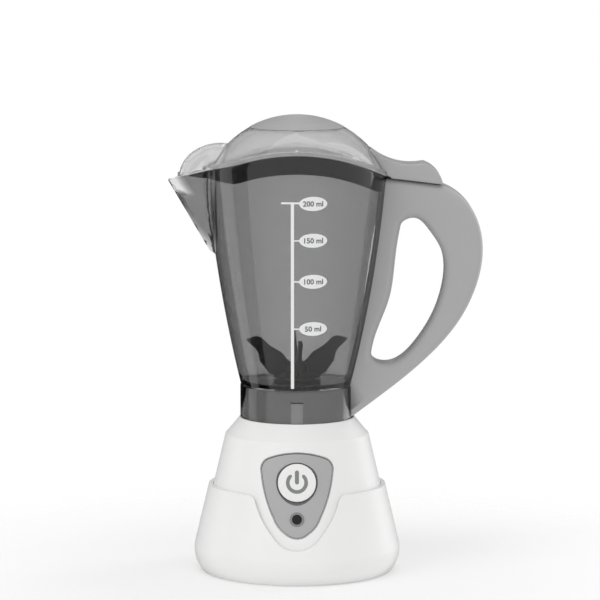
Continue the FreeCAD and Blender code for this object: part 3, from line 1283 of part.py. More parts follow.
def side_edge(edge, half):
    """An edge on one of the handle's flat sides, away from the part that the jug takes."""
    box = edge.BoundBox
    on_side = box.YLength < 1e-6 and abs(abs(box.YMin) - half) < 1e-6
    return on_side and box.XMax > value("handle_foot")


def grip_edge(edge):
    """An edge of the handle's opening."""
    box = edge.BoundBox
    return box.XMin > value("handle_foot") and box.ZMax < value("deck_z + handle_shoulder_up")


# ---------------------------------------------------------------- blade and its drive

def jug_bush():
    """Flanged bush in the jug's floor with a pocket for the seal on top."""
    body = new_body("shaft_bush")
    bore = "(shaft_rad + shaft_fit)"
    revolve(body, draw(body, "jug_bush_profile", "XZ_Plane", [
        (bore, JUG_BUSH_LOW),
        ("jug_bush_flange_rad", JUG_BUSH_LOW),
        ("jug_bush_flange_rad", JUG_FLOOR_LOW),
        ("jug_bush_rad", JUG_FLOOR_LOW),
        ("jug_bush_rad", JUG_BUSH_TOP),
        ("seal_rad", JUG_BUSH_TOP),
        ("seal_rad", f"({JUG_BUSH_TOP} - seal_wall)"),
        (bore, f"({JUG_BUSH_TOP} - seal_wall)"),
    ]))
    return keep(body)


def shaft_seal():
    body = new_body("shaft_seal")
    low = f"({JUG_BUSH_TOP} - seal_wall)"
    revolve(body, draw(body, "seal_profile", "XZ_Plane", [
        ("(shaft_rad + shaft_fit)", low),
        ("seal_rad", low),
        ("seal_rad", JUG_BUSH_TOP),
        ("(shaft_rad + 4 * shaft_fit)", JUG_BUSH_TOP),
        ("(shaft_rad + shaft_fit)", f"({JUG_BUSH_TOP} - seal_wall / 2)"),
    ]))
    return keep(body)


def retaining_clip():
    body = new_body("retaining_clip")
    pad(body, draw(body, "clip_outline", "XY_Plane", ("ring", 0, 0, "clip_rad"), ("ring", 0, 0, "shaft_rad"),
                   lift=COUPLING_TOP), "clip_wall")
    mouth = box_outline("(-clip_mouth_half)", "clip_mouth_half", 0, "(clip_rad + 1)")
    pocket(body, draw(body, "clip_mouth", "XY_Plane", mouth, lift=COUPLING_TOP), "clip_wall", back=True)
    return keep(body)


def blade_rotor():
    """Round hub with four upright fins that rise outwards, serrated underneath."""
    body = new_body("blade_rotor")
    revolve(body, draw(body, "hub_profile", "XZ_Plane", [
        ("0", HUB_LOW),
        ("hub_rad", HUB_LOW),
        ("hub_rad", f"({HUB_LOW} + hub_wall / 2)"),
        ("(hub_rad * 4 / 5)", f"({HUB_LOW} + hub_wall * 0.86)", "(hub_boss_rad + 1)", f"({HUB_LOW} + hub_wall)"),
        ("hub_boss_rad", f"({HUB_LOW} + hub_wall + 1)"),
        ("hub_boss_rad", f"({HUB_TOP} - 1.5)"),
        ("(hub_boss_rad * 3 / 4)", f"({HUB_TOP} - 0.4)", "(hub_boss_rad / 2)", HUB_TOP),
        ("0", HUB_TOP),
    ]))
    outline = [(out, f"({JUG_FLOOR_TOP} + {up})") for out, up in FIN_ENDS]
    fin = pad(body, draw(body, "fin_outline", "XZ_Plane", outline), "2 * fin_half", both=True)
    around(body, fin, "fin_count")
    rods(body, "Subtractive", "blade_bore", [("0", "0")], "shaft_rad", "hub_boss_height - shaft_sink", HUB_LOW)
    body.Placement = Placement(Vector(), Rotation(Vector(0, 0, 1), 1))
    body.setExpression("Placement.Rotation.Angle", ref("fin_turn * 1 deg"))
    return keep(body)


# ---------------------------------------------------------------- lid

def barrel(inset, outer=None):
    """Half section, about the axis that lies across the jug, of a barrel that bulges in the
    middle: the dome's surface moved inwards by inset, or the space between it and outer."""
    rim = f"(lid_rad - lid_side_rad + sqrt(lid_side_rad^2 - lid_half^2) - ({inset}))"
    middle = f"(lid_rad - ({inset}))"
    inner = outer if outer else 0
    return [
        ("lid_half", f"({LID_AXIS_Z} + {rim})"),
        ("0", f"({LID_AXIS_Z} + {middle})", "(-lid_half)", f"({LID_AXIS_Z} + {rim})"),
        ("(-lid_half)", f"({LID_AXIS_Z} + {inner})"),
        ("lid_half", f"({LID_AXIS_Z} + {inner})"),
    ]


def barrel_turn(body, kind, name, outline):
    """Turns a section in the YZ plane about the barrel's axis."""
    sketch = draw(body, name, "YZ_Plane", outline)
    start, end = Vector(-TRIM, value(LID_AXIS_Z), 0), Vector(TRIM, value(LID_AXIS_Z), 0)
    axis = sketch.addGeometry(Part.LineSegment(start, end), True)
    pin_point(sketch, axis, 1, -TRIM, LID_AXIS_Z)
    pin_point(sketch, axis, 2, TRIM, LID_AXIS_Z)
    feature = body.newObject(f"PartDesign::{kind}", name + "_turned")
    feature.Profile = sketch
    feature.ReferenceAxis = (sketch, ["Axis0"])
    feature.Angle = 360
    return feature


def hood(body, kind, name, inset):
    """The bubble over the spout, an ellipsoid moved inwards by inset."""
    bubble = body.newObject(f"PartDesign::{kind}Ellipsoid", name)
    bubble.setExpression("Radius1", ref(f"hood_high - {inset}"))
    bubble.setExpression("Radius2", ref(f"hood_long - {inset}"))
    bubble.setExpression("Radius3", ref(f"hood_wide - {inset}"))
    bubble.Angle1 = -90
    bubble.Angle2 = 90
    bubble.Angle3 = 360
    move(bubble, "-hood_x", 0, "deck_z + hood_up")
    return bubble


def below_rim(lift, left, end="rim_end"):
    """Everything below the jug's rim line, raised by lift."""
    outline = above_rim(lift, left, end)
    return [(end, 0), (f"(-({left}))", 0)] + outline[2:]


def flange_outline():
    """The lid's edge seen from above: a circle with a wedge over the spout."""
    root_x = "sqrt(flange_rad^2 - spout_half^2)"
    tip_x = "(flange_tip - flange_tip_half / 2)"
    return [
        (f"(-{root_x})", "(-spout_half)"),
        ("flange_rad", "0", f"(-{root_x})", "spout_half"),
        (f"(-{tip_x})", "flange_tip_half"),
        ("(-flange_tip)", "0", f"(-{tip_x})", "(-flange_tip_half)"),
    ]


def lid_dome():
    """Thin clear dome with the hood over the spout and the flange that rests on the rim."""
    body = new_body("lid_dome_blank")
    band = above_rim("lid_gap", "60")
    top = above_rim("lid_gap + flange_wall", "60")
    pad(body, draw(body, "flange_band", "XZ_Plane", [
        ("rim_end", arch("rim_end", "lid_gap + flange_wall")),
        (0, arch(0, "lid_gap + flange_wall"), "(-spout_start)", arch("spout_start", "lid_gap + flange_wall")),
        top[2],
        band[2],
        band[3],
        band[4],
    ]), "2 * lid_half", both=True)
    barrel_turn(body, "Revolution", "dome_outside", barrel("0"))
    pocket(body, draw(body, "dome_plan", "XY_Plane", centred(TRIM, TRIM), flange_outline()), back=True)
    hood(body, "Additive", "hood_outside", "0")
    barrel_turn(body, "Groove", "dome_inside", barrel("lid_wall"))
    hood(body, "Subtractive", "hood_inside", "lid_wall")
    pocket(body, draw(body, "dome_base", "XZ_Plane", below_rim("lid_gap", "70", "rim_end")), both=True)
    seat = new_body("cap_seat_tool")
    barrel_turn(seat, "Revolution", "cap_seat", barrel("cap_wall", "(lid_rad + 3)"))
    pocket(seat, draw(seat, "cap_seat_trim", "XZ_Plane", box_outline(-TRIM, TRIM, 0, "(deck_z + cap_height)")),
           both=True)
    return keep(cut("lid_dome", body, seat))


def lid_cap():
    """Shallow cap let into the top of the dome."""
    body = new_body("lid_cap")
    barrel_turn(body, "Revolution", "cap_outside", barrel("-cap_proud"))
    barrel_turn(body, "Groove", "cap_inside", barrel("cap_wall"))
    pocket(body, draw(body, "cap_edge", "XZ_Plane", box_outline(-TRIM, TRIM, 0, "(deck_z + cap_height + cap_fit)")),
           both=True)
    return keep(body)


def lid_ring(dome):
    """Ring under the dome that goes down inside the jug's rim and into the spout."""
    body = new_body("lid_ring_blank")
    low = "(deck_z + ring_low)"
    outer = "(jug_wall + ring_fit)"
    inner = "(jug_wall + ring_fit + ring_wall)"
    revolve(body, draw(body, "ring_outside", "XZ_Plane", jug_wall_outline(outer, SKIRT_TOP)))
    spout_wedge(body, "Additive", "ring_spout", low, outer)
    groove(body, draw(body, "ring_inside", "XZ_Plane", jug_wall_outline(inner, SKIRT_TOP)))
    spout_wedge(body, "Subtractive", "ring_spout_inside", low, inner)
    pocket(body, draw(body, "ring_top", "XZ_Plane", above_rim("ring_rise", "70")), both=True)
    pocket(body, draw(body, "ring_base", "XZ_Plane", below_rim("-ring_depth", "70")), both=True)
    tip = box_outline("(-(spout_reach * 2))", "(-ring_tip)", 0, TRIM * 2)
    pocket(body, draw(body, "ring_tip_cut", "XZ_Plane", tip), both=True)
    return keep(cut("lid_ring", body, dome))


def lid_tab(dome):
    """Thumb tab over the top of the handle, shaped to the dome and its flange."""
    body = new_body("lid_tab_blank")

    def at(name):
        return (name, f"(deck_z + {name}_up)")

    inboard = "(mouth_rad + tab_gap)"
    middle = "lid_gap + flange_wall / 2"
    pad(body, draw(body, "tab_outline", "XZ_Plane", [
        ("handle_foot", arch("handle_foot", middle)),
        ("waist_rad", arch("waist_rad", middle), inboard, arch(inboard, middle)),
        (inboard, handle_crest(inboard, "tab_gap")),
        ("tab_end", handle_crest("tab_end", "tab_gap")),
        at("tab_nose") + at("tab_flat"),
        at("tab_valley") + at("tab_root"),
        ("handle_foot", "(deck_z + tab_root_up)"),
    ]), "2 * tab_half", both=True)
    barrel_turn(body, "Groove", "tab_seat", barrel("0"))
    return keep(cut("lid_tab", body, dome))


# ---------------------------------------------------------------- build

base_lower_shell()
base_upper_shell()
upright_screws("base_screws", BASE_SCREW_SPOTS, "floor_recess + sink_depth - screw_head", "base_screw_reach")
coupling_collar()
upright_screws("collar_screws", COLLAR_SPOTS, "deck_z - deck_wall - screw_head", "deck_wall + collar_screw_reach")
control_panel()
power_button()
indicator_lens()
circuit_board()
tact_switch()
switch_plunger()
indicator_light()
board_screws()
gearbox_lower_plate()
gearbox_upper_plate()
upright_screws("gearbox_screws", POST_SPOTS, "plate_z - screw_head", "gearbox_screw_reach")
upright_pin("idler_axle", "pin_rad", "plate_z", GEARBOX_TOP, IDLER_X, IDLER_Y)
idler_gear()
output_gear()
upright_pin("output_shaft", "shaft_rad", "(plate_z - shaft_end)", f"({DOG_TOP} - shaft_sink)")
output_bush()
drive_dog()
motor_can()
motor_end_cap()
motor_terminals()
upright_pin("motor_shaft", "pin_rad", "(plate_z - motor_can_len - motor_cap_len / 2 + shaft_end)",
            f"({WHEEL_TOP} + gear_step + shaft_end)", 0, "motor_offset")
motor_pinion()
battery_tray()
battery_cell("battery_cell_1", 1, 1)
battery_cell("battery_cell_2", -1, -1)
contact_plates()
contact_springs()
battery_door()
upright_screws("battery_door_screw", [("door_screw_x", "0")], "floor_recess - door_screw_head", "door_screw_reach",
               "door_screw_head", "door_screw_head_rad")
leads()
jug_body()
handle()
jug_bush()
shaft_seal()
upright_pin("blade_shaft", "shaft_rad", SOCKET_TOP, f"({HUB_TOP} - shaft_sink)")
blade_rotor()
retaining_clip()
jug_coupling()
dome_part = lid_dome()
lid_cap()
lid_ring(dome_part)
lid_tab(dome_part)
doc.recompute()

# ---------------------------------------------------------------- checks and export

faults = []
for thing in doc.Objects:
    if "Invalid" in thing.State or "Error" in thing.State:
        faults.append(f"{thing.Label}: {thing.State}")
    elif thing.TypeId in ("PartDesign::Pocket", "PartDesign::Groove") or "::Subtractive" in thing.TypeId:
        if thing.Shape.Volume > thing.BaseFeature.Shape.Volume - 1e-6:
            faults.append(f"{thing.Label}: cuts nothing")
for node, solids in NODES:
    if node.Shape.isNull() or not node.Shape.isValid():
        faults.append(f"{node.Label}: shape is null or not valid")
    elif len(node.Shape.Solids) != solids:
        faults.append(f"{node.Label}: {len(node.Shape.Solids)} solids, not {solids}")
if faults:
    raise RuntimeError("\n".join(faults))

os.makedirs("parts", exist_ok=True)
for node, solids in NODES:
    node.Shape.exportStep(f"parts/{node.Label}.step")
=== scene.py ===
import json
import math

import bmesh
import bpy
from mathutils import Matrix, Vector


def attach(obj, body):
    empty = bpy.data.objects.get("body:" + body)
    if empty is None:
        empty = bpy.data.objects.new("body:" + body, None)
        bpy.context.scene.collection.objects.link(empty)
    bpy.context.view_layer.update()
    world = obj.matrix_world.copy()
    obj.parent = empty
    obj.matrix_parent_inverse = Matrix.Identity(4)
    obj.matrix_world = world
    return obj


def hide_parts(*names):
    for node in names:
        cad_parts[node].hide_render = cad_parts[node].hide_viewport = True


# Toy blender. +Z is up, the button side faces -Y, the spout points to -X and the handle to +X.
# The jug stands seated on the base. Sizes of pieces are in millimetres, and new_piece turns them
# into metres. Those of the materials, floor, lamps and camera are in metres.

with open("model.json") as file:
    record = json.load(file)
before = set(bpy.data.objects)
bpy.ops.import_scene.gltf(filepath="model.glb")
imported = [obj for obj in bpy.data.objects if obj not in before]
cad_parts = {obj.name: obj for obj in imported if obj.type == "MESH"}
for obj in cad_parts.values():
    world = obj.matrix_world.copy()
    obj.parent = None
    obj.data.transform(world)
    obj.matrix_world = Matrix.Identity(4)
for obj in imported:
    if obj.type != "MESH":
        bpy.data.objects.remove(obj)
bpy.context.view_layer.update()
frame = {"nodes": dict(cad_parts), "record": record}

MM = 0.001
TURN = 2 * math.pi
DECK = 65.0  # top of the base
SEAM_RAD, SEAM_Z = 35.3, 36.5  # lower end of the housing's slope
SHOULDER_RAD, SHOULDER_Z = 30.5, 56.7  # its upper end
SLOPE = (SEAM_RAD - SHOULDER_RAD) / (SHOULDER_Z - SEAM_Z)
TILT = math.atan(SLOPE)
SMOOTH = 35  # degrees between two faces past which their edge is sharp
CAD_SMOOTH = 30
MERGE = 0.5e-6  # metres between vertices that become one
CAD_MERGE = 2e-6


# ---------------------------------------------------------------- shared mesh helpers

def linked(name, data):
    """A new object in the scene."""
    thing = bpy.data.objects.new(name, data)
    bpy.context.scene.collection.objects.link(thing)
    return thing


def smooth_by_angle(mesh, degrees=SMOOTH):
    """Smooth shading with sharp edges where the faces meet at more than an angle."""
    mesh.polygons.foreach_set("use_smooth", [True] * len(mesh.polygons))
    mesh.set_sharp_from_angle(angle=math.radians(degrees))


def new_piece(name, verts, faces, materials):
    """A piece from vertices in millimetres."""
    mesh = bpy.data.meshes.new(name)
    mesh.from_pydata([tuple(c * MM for c in v) for v in verts], [], faces)
    mesh.validate()
    mesh.update()
    for material in materials:
        mesh.materials.append(material)
    smooth_by_angle(mesh)
    return linked(name, mesh)


def merged(mesh, distance):
    """The mesh to work on, with its doubled vertices merged."""
    work = bmesh.new()
    work.from_mesh(mesh)
    bmesh.ops.remove_doubles(work, verts=work.verts, dist=distance)
    return work


def outward(piece):
    """Points a closed mesh's faces outwards."""
    work = merged(piece.data, MERGE)
    bmesh.ops.recalc_face_normals(work, faces=work.faces)
    work.to_mesh(piece.data)
    work.free()
    smooth_by_angle(piece.data)
    return piece


def baked(piece, degrees=SMOOTH):
    """Applies a piece's modifiers to its mesh."""
    graph = bpy.context.evaluated_depsgraph_get()
    mesh = bpy.data.meshes.new_from_object(piece.evaluated_get(graph))
    piece.modifiers.clear()
    piece.data = mesh
    smooth_by_angle(mesh, degrees)
    return piece


def settle(piece, body, slot, *nodes):
    """Puts a finished piece on its body and in place of its CAD nodes. The slot is not used."""
    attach(piece, body)
    if nodes:
        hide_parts(*nodes)


def ease(value, start, end):
    """0 before start, 1 after end, and a smooth step between them."""
    share = min(1.0, max(0.0, (value - start) / (end - start)))
    return share * share * (3 - 2 * share)


def quarter_turn(steps, first=0):
    """The angles that divide a quarter turn into steps."""
    return [math.pi / 2 * step / steps for step in range(first, steps + 1)]


def tube_faces(columns, rows):
    """Faces of a grid that closes round its columns and round its rows."""
    faces = []
    for row in range(rows):
        above = (row + 1) % rows
        for column in range(columns):
            ahead = (column + 1) % columns
            faces.append((row * columns + column, row * columns + ahead,
                          above * columns + ahead, above * columns + column))
    return faces


def lathe(name, profile, material, columns, closed=False):
    """Turns a profile of (radius, height) points about the drive axis. A radius of 0 is a pole,
    and a closed profile makes a ring."""
    verts = []
    rings = []
    for radius, height in profile:
        start = len(verts)
        if radius == 0:
            rings.append([start])
            verts.append((0, 0, height))
            continue
        rings.append(list(range(start, start + columns)))
        turns = [TURN * k / columns for k in range(columns)]
        verts += [(radius * math.cos(a), radius * math.sin(a), height) for a in turns]
    faces = []
    for low, high in zip(rings, rings[1:] + rings[:1] if closed else rings[1:]):
        if len(low) == len(high) == 1:
            continue
        for k in range(columns):
            n = (k + 1) % columns
            if len(low) == 1:
                faces.append((low[0], high[n], high[k]))
            elif len(high) == 1:
                faces.append((low[k], low[n], high[0]))
            else:
                faces.append((low[k], low[n], high[n], high[k]))
    return outward(new_piece(name, verts, faces, [material]))


SIDE_SHARE = 0.45


def rounded(points, radius, steps):
    """The closed profile with its corners rounded, less where their sides are short."""
    result = []
    for index, here in enumerate(points):
        corner = Vector(here)
        to_before = Vector(points[index - 1]) - corner
        to_after = Vector(points[(index + 1) % len(points)]) - corner
        angle = to_before.angle(to_after)
        reach = min(radius / math.tan(angle / 2), to_before.length * SIDE_SHARE,
                    to_after.length * SIDE_SHARE)
        start = corner + to_before.normalized() * reach
        end = corner + to_after.normalized() * reach
        for step in range(steps + 1):
            t = step / steps
            result.append(tuple((1 - t) ** 2 * start + 2 * t * (1 - t) * corner + t ** 2 * end))
    return result


def cad_copy(node, name, material):
    """A merged, smoothly shaded copy of a CAD node."""
    mesh = frame["nodes"][node].data.copy()
    mesh.name = name
    work = merged(mesh, CAD_MERGE)
    work.to_mesh(mesh)
    work.free()
    mesh.materials.clear()
    mesh.materials.append(material)
    smooth_by_angle(mesh, CAD_SMOOTH)
    return linked(name, mesh)


FACET_BLEND = 25  # degrees between facets that shade as one surface
FACET_TWIST = 0.06
POLE = 1e-7


def turned_normals(piece):
    """Shades each flat facet of a surface turned about the drive axis as the round surface that
    it stands for."""
    mesh = piece.data
    spots = [v.co.copy() for v in mesh.vertices]
    around = [[] for _ in spots]
    turned = []
    for face in mesh.polygons:
        normal = face.normal
        middle = sum((spots[i] for i in face.vertices), Vector()) / len(face.vertices)
        out = Vector((middle.x, middle.y, 0))
        entry = None
        if out.length > POLE:
            out.normalize()
            if abs(out.cross(normal).z) < FACET_TWIST:
                radial = math.copysign(math.hypot(normal.x, normal.y), out.dot(normal))
                entry = Vector((radial, normal.z))
        elif abs(normal.z) > 0.999:
            entry = Vector((0, normal.z))
        turned.append(entry)
        if entry is not None:
            for i in face.vertices:
                around[i].append((entry, face.area))
    limit = math.cos(math.radians(FACET_BLEND))
    normals = []
    for face, entry in zip(mesh.polygons, turned):
        for loop in face.loop_indices:
            i = mesh.loops[loop].vertex_index
            flat = Vector((spots[i].x, spots[i].y, 0))
            if entry is None or (flat.length < POLE and abs(entry.x) > 0.02):
                normals.append(tuple(mesh.corner_normals[loop].vector))
                continue
            near = (other * area for other, area in around[i] if other.dot(entry) > limit)
            total = sum(near, Vector((0, 0))).normalized()
            out = flat.normalized() if flat.length > POLE else Vector()
            normals.append(tuple((out * total.x + Vector((0, 0, total.y))).normalized()))
    mesh.normals_split_custom_set(normals)


# ---------------------------------------------------------------- materials

def fill(node, inputs):
    """Sets a node's inputs, or links them where the value is another node's output."""
    for key, value in inputs.items():
        if isinstance(value, bpy.types.NodeSocket):
            node.id_data.links.new(value, node.inputs[key])
        else:
            node.inputs[key].default_value = value
    return node


def add_node(tree, kind, inputs):
    return fill(tree.nodes.new(kind), inputs)


def maths(tree, operation, *values):
    """The result of a Math node."""
    node = tree.nodes.new("ShaderNodeMath")
    node.operation = operation
    return fill(node, dict(enumerate(values))).outputs[0]


def base_material(name):
    material = bpy.data.materials.new(name)
    material.use_nodes = True
    tree = material.node_tree
    return material, tree, tree.nodes["Principled BSDF"]


def object_noise(tree, scale, detail):
    place = tree.nodes.new("ShaderNodeTexCoord")
    return add_node(tree, "ShaderNodeTexNoise", {
        "Vector": place.outputs["Object"], "Scale": scale, "Detail": detail}).outputs["Fac"]


NOISE_LOW, NOISE_HIGH = 0.3, 0.7


def remap(tree, source, low, high):
    """Stretches a noise pattern to low..high."""
    return add_node(tree, "ShaderNodeMapRange", {
        "Value": source, "From Min": NOISE_LOW, "From Max": NOISE_HIGH,
        "To Min": low, "To Max": high}).outputs["Result"]


def two_tone(tree, source, first, second):
    """Colours a noise pattern from the first colour to the second."""
    ramp = add_node(tree, "ShaderNodeValToRGB", {"Fac": source})
    stops = zip(ramp.color_ramp.elements, (NOISE_LOW, NOISE_HIGH), (first, second))
    for stop, position, colour in stops:
        stop.position = position
        stop.color = (*colour, 1)
    return ramp.outputs["Color"]


def add_bump(tree, shader, source, strength, distance):
    bump = add_node(tree, "ShaderNodeBump", {
        "Height": source, "Strength": strength, "Distance": distance})
    fill(shader, {"Normal": bump.outputs["Normal"]})


FLOW_SCALE = 38.0
GLOSS_SCALE = 420.0
GRAIN_DEPTH = 0.00004


def moulded(name, colour, vary, rough, grain=0.0, grain_scale=2600.0, specular=0.5):
    """Moulded plastic: a faint change of colour, uneven gloss and a fine surface grain."""
    material, tree, shader = base_material(name)
    darker = tuple(max(0.0, c * (1 - vary)) for c in colour)
    lighter = tuple(min(1.0, c * (1 + vary)) for c in colour)
    flow = object_noise(tree, FLOW_SCALE, 3.0)
    gloss = object_noise(tree, GLOSS_SCALE, 4.0)
    fill(shader, {"Base Color": two_tone(tree, flow, darker, lighter),
                  "Roughness": remap(tree, gloss, *rough), "Specular IOR Level": specular})
    if grain:
        add_bump(tree, shader, object_noise(tree, grain_scale, 2.0), grain, GRAIN_DEPTH)
    return material


DULL_SCALE, DULL_SHARE = 160.0, 0.93
BRUSH_SCALE = 1400.0
BRUSH_STRENGTH, BRUSH_DEPTH = 0.15, 0.00002


def metal(name, colour, rough=(0.22, 0.36)):
    """Drawn or turned metal with fine uneven gloss."""
    material, tree, shader = base_material(name)
    darker = tuple(c * DULL_SHARE for c in colour)
    dull = object_noise(tree, DULL_SCALE, 3.0)
    brush = object_noise(tree, BRUSH_SCALE, 3.0)
    fill(shader, {"Metallic": 1.0, "Base Color": two_tone(tree, dull, darker, colour),
                  "Roughness": remap(tree, brush, *rough)})
    add_bump(tree, shader, brush, BRUSH_STRENGTH, BRUSH_DEPTH)
    return material


SMOKE_SCALE = 60.0
SMOKE_WAVE, SMOKE_DEPTH = 0.04, 0.0002


def smoke_plastic(name, density):
    """Clear moulded plastic that darkens with the depth that the light crosses."""
    material, tree, shader = base_material(name)
    flow = object_noise(tree, SMOKE_SCALE, 3.0)
    fill(shader, {"Base Color": (1, 1, 1, 1), "Transmission Weight": 1.0, "IOR": 1.46,
                  "Roughness": remap(tree, flow, 0.015, 0.05)})
    add_bump(tree, shader, flow, SMOKE_WAVE, SMOKE_DEPTH)
    absorb = add_node(tree, "ShaderNodeVolumeAbsorption", {
        "Color": (0, 0, 0, 1), "Density": density})
    fill(tree.nodes["Material Output"], {"Volume": absorb.outputs["Volume"]})
    return material


def milky_plastic(name, colour, clear, rough):
    """Milky moulded plastic that lets part of the light through."""
    material = moulded(name, colour, 0.02, rough, 0.03)
    fill(material.node_tree.nodes["Principled BSDF"], {"Transmission Weight": clear, "IOR": 1.42})
    return material


# Colour, its change, range of roughness, strength and scale of the grain, specular level.
WHITE = moulded("white_housing_plastic", (0.87, 0.87, 0.865), 0.008, (0.30, 0.38), 0.02, 900.0,
                0.25)
COLLAR_WHITE = moulded("white_collar_plastic", (0.80, 0.80, 0.80), 0.008, (0.38, 0.46), 0.03,
                       900.0)
PANEL = moulded("grey_panel_plastic", (0.415, 0.415, 0.42), 0.025, (0.44, 0.56), 0.14, 1800.0)
# Near black painted on the panel's rim and round the button's hole: painted shade of the gaps
# there.
PANEL_EDGE_SHADE = moulded("panel_edge_painted_shade", (0.11, 0.11, 0.113), 0.04, (0.44, 0.56), 0.05)
BUTTON = moulded("white_button_plastic", (0.85, 0.85, 0.84), 0.008, (0.24, 0.30), 0.02, 900.0)
SYMBOL = moulded("grey_symbol_ink", (0.21, 0.225, 0.21), 0.03, (0.45, 0.55), 0.05)
LENS = moulded("dark_lens_plastic", (0.010, 0.010, 0.011), 0.05, (0.12, 0.22), specular=0.25)
BEZEL = moulded("bezel_plastic", (0.22, 0.22, 0.225), 0.04, (0.34, 0.44), 0.08)
# Near black painted on the walls of the collar's well: painted shade, not the plastic's colour.
WELL_SHADE = moulded("well_painted_shade", (0.07, 0.07, 0.072), 0.05, (0.45, 0.6), 0.05)
GREY = moulded("grey_handle_plastic", (0.410, 0.410, 0.410), 0.015, (0.38, 0.48), 0.08, 1800.0)
DARK = moulded("dark_blade_plastic", (0.030, 0.030, 0.031), 0.06, (0.38, 0.50), 0.12, 1800.0)
RING_DARK = moulded("dark_ring_plastic", (0.014, 0.014, 0.015), 0.06, (0.30, 0.42))
INK = moulded("white_scale_ink", (0.86, 0.86, 0.86), 0.02, (0.40, 0.55), 0.05)
TEXT_INK = moulded("grey_text_ink", (0.07, 0.07, 0.075), 0.04, (0.45, 0.55), 0.05)
RUBBER = moulded("seal_rubber", (0.025, 0.025, 0.025), 0.08, (0.6, 0.75), 0.2)
FRAME_PLASTIC = moulded("grey_frame_plastic", (0.48, 0.48, 0.46), 0.03, (0.40, 0.55), 0.1)
GEAR = moulded("cream_gear_plastic", (0.74, 0.70, 0.60), 0.03, (0.35, 0.48), 0.06)
TRAY = moulded("dark_tray_plastic", (0.16, 0.16, 0.165), 0.04, (0.45, 0.6), 0.15)
BOARD = moulded("green_board", (0.03, 0.16, 0.06), 0.1, (0.35, 0.5), 0.1)
LEAD = moulded("red_lead_cover", (0.42, 0.03, 0.02), 0.05, (0.45, 0.6), 0.05)
LIGHT = moulded("red_light_plastic", (0.35, 0.02, 0.015), 0.05, (0.1, 0.2))
STEEL = metal("plated_steel", (0.60, 0.60, 0.60))
BRASS = metal("turned_brass", (0.66, 0.47, 0.20))
CELL = metal("printed_cell_case", (0.16, 0.18, 0.22), (0.3, 0.42))
SMOKE = smoke_plastic("smoke_jug_plastic", 450.0)
DOME = milky_plastic("milky_lid_plastic", (0.86, 0.86, 0.86), 0.80, (0.04, 0.08))


# ---------------------------------------------------------------- jug and lid ring
# Heights are above the skirt's lower edge, and angles about the drive axis start at the spout.

CUP_CENTRE = (-531.4931, 149.8278)  # of the arc that the cup's wall is turned from
CUP_ARC = 571.5172
WALL = 1.6
EDGE = 0.3
SKIRT_RAD = 23.9
SKIRT_IN = 22.5
NECK_TOP = 13.8
KEY_IN = 23.05  # inside of the groove for the collar's key
KEY_RAD, KEY_HALF = 23.0, 2.7
KEY_TOP = 9.0
UNDER = 13.6  # underside of the boss round the bush
THIN_UNDER = 14.7  # underside of the floor outside the boss
FLOOR = 15.6
FLOOR_ROUND = 1.2
FLOOR_MIDDLE = 14.0
UNDER_MIDDLE = 16.0
BOSS_RAD, BOSS_FOOT = 9.2, 10.6
BUSH_HOLE = 4.2
RIM_TOP = 112.7
RIM_ARC = 70.4
RIM_ROUND = 0.45
RIM_GUESS, RIM_LIMIT, RIM_PASSES = 105.0, 113.5, 12
OUTER_ROWS, INNER_ROWS = 64, 56
SPOUT_START = 24.0
SPOUT_REACH = 54.2
SPOUT_TIP = 100.3
SPOUT_ROOT = 69.7
SPOUT_ROOT_RAD = 36.3
SPOUT_WALL = 1.12  # share of the wall's thickness
SPOUT_INSIDE = 28.0
SPOUT_HALF = (0.6, 13.1)  # half width at the root, and what the tip adds
SPOUT_LEAST = 0.05  # half width at which the spout ends
NOSE_HALF = (0.3, 2.5)
NOSE_BACK = 1.4
NOSE_WALL = 1.25
NOSE_ROUND = 90.0
SPOUT_BLEND = 1.2
SPOUT_ANGLE = 1.0
TIP_CLEAR = 0.86  # share of the wall that the lip at the tip lacks
LIP_RISE = (0.78, 0.83)
LIP_ANGLES = (4.0, 5.0)
SPOUT_COLUMNS = (0, 0.5, 1, 1.6, 2.3, 3.1, 4, 5, 6.2, 7.6, 9.2, 11, 13, 15, 17, 19, 20.5, 22, 23.5,
                 25, 27, 29.5, 32.5)
KEY_COLUMNS = (83.1, 83.4, 96.6, 96.9)
CUP_COLUMNS = 48


def cup_radius(height):
    """Outer radius of the cup without its spout."""
    return CUP_CENTRE[0] + math.sqrt(CUP_ARC ** 2 - (height - CUP_CENTRE[1]) ** 2)


def rim_height(x):
    """Height of the rim line: an arch that falls in a straight line to the spout's tip."""
    arch = RIM_TOP - RIM_ARC
    if x >= -SPOUT_START:
        return arch + math.sqrt(RIM_ARC ** 2 - x ** 2)
    start = arch + math.sqrt(RIM_ARC ** 2 - SPOUT_START ** 2)
    fall = (start - SPOUT_TIP) / (SPOUT_REACH - SPOUT_START)
    return start - (-x - SPOUT_START) * fall


def spout_radius(angle, height, inset):
    """Distance from the axis to the spout's side. Its walls are even, and thin in the lip."""
    rise = (height - SPOUT_ROOT) / (SPOUT_TIP - SPOUT_ROOT)
    if rise <= 0:
        return 0.0
    lip = ease(rise, *LIP_RISE) * (1 - ease(math.degrees(abs(angle)), *LIP_ANGLES))
    inset *= SPOUT_WALL * (1 - TIP_CLEAR * lip)
    tip = SPOUT_ROOT_RAD + (SPOUT_REACH - SPOUT_ROOT_RAD) * rise
    half = SPOUT_HALF[0] + SPOUT_HALF[1] * rise
    slope = (half - NOSE_HALF[0] - NOSE_HALF[1] * rise) / (tip - NOSE_BACK * rise - SPOUT_INSIDE)
    half -= inset * math.sqrt(1 + slope * slope)
    if half <= SPOUT_LEAST:
        return 0.0
    across = abs(math.sin(angle)) + slope * math.cos(angle) + 1e-9
    nose = tip - inset * NOSE_WALL - abs(math.tan(angle)) ** 2 * NOSE_ROUND
    return max(0.0, min((half + slope * SPOUT_INSIDE) / across, nose))


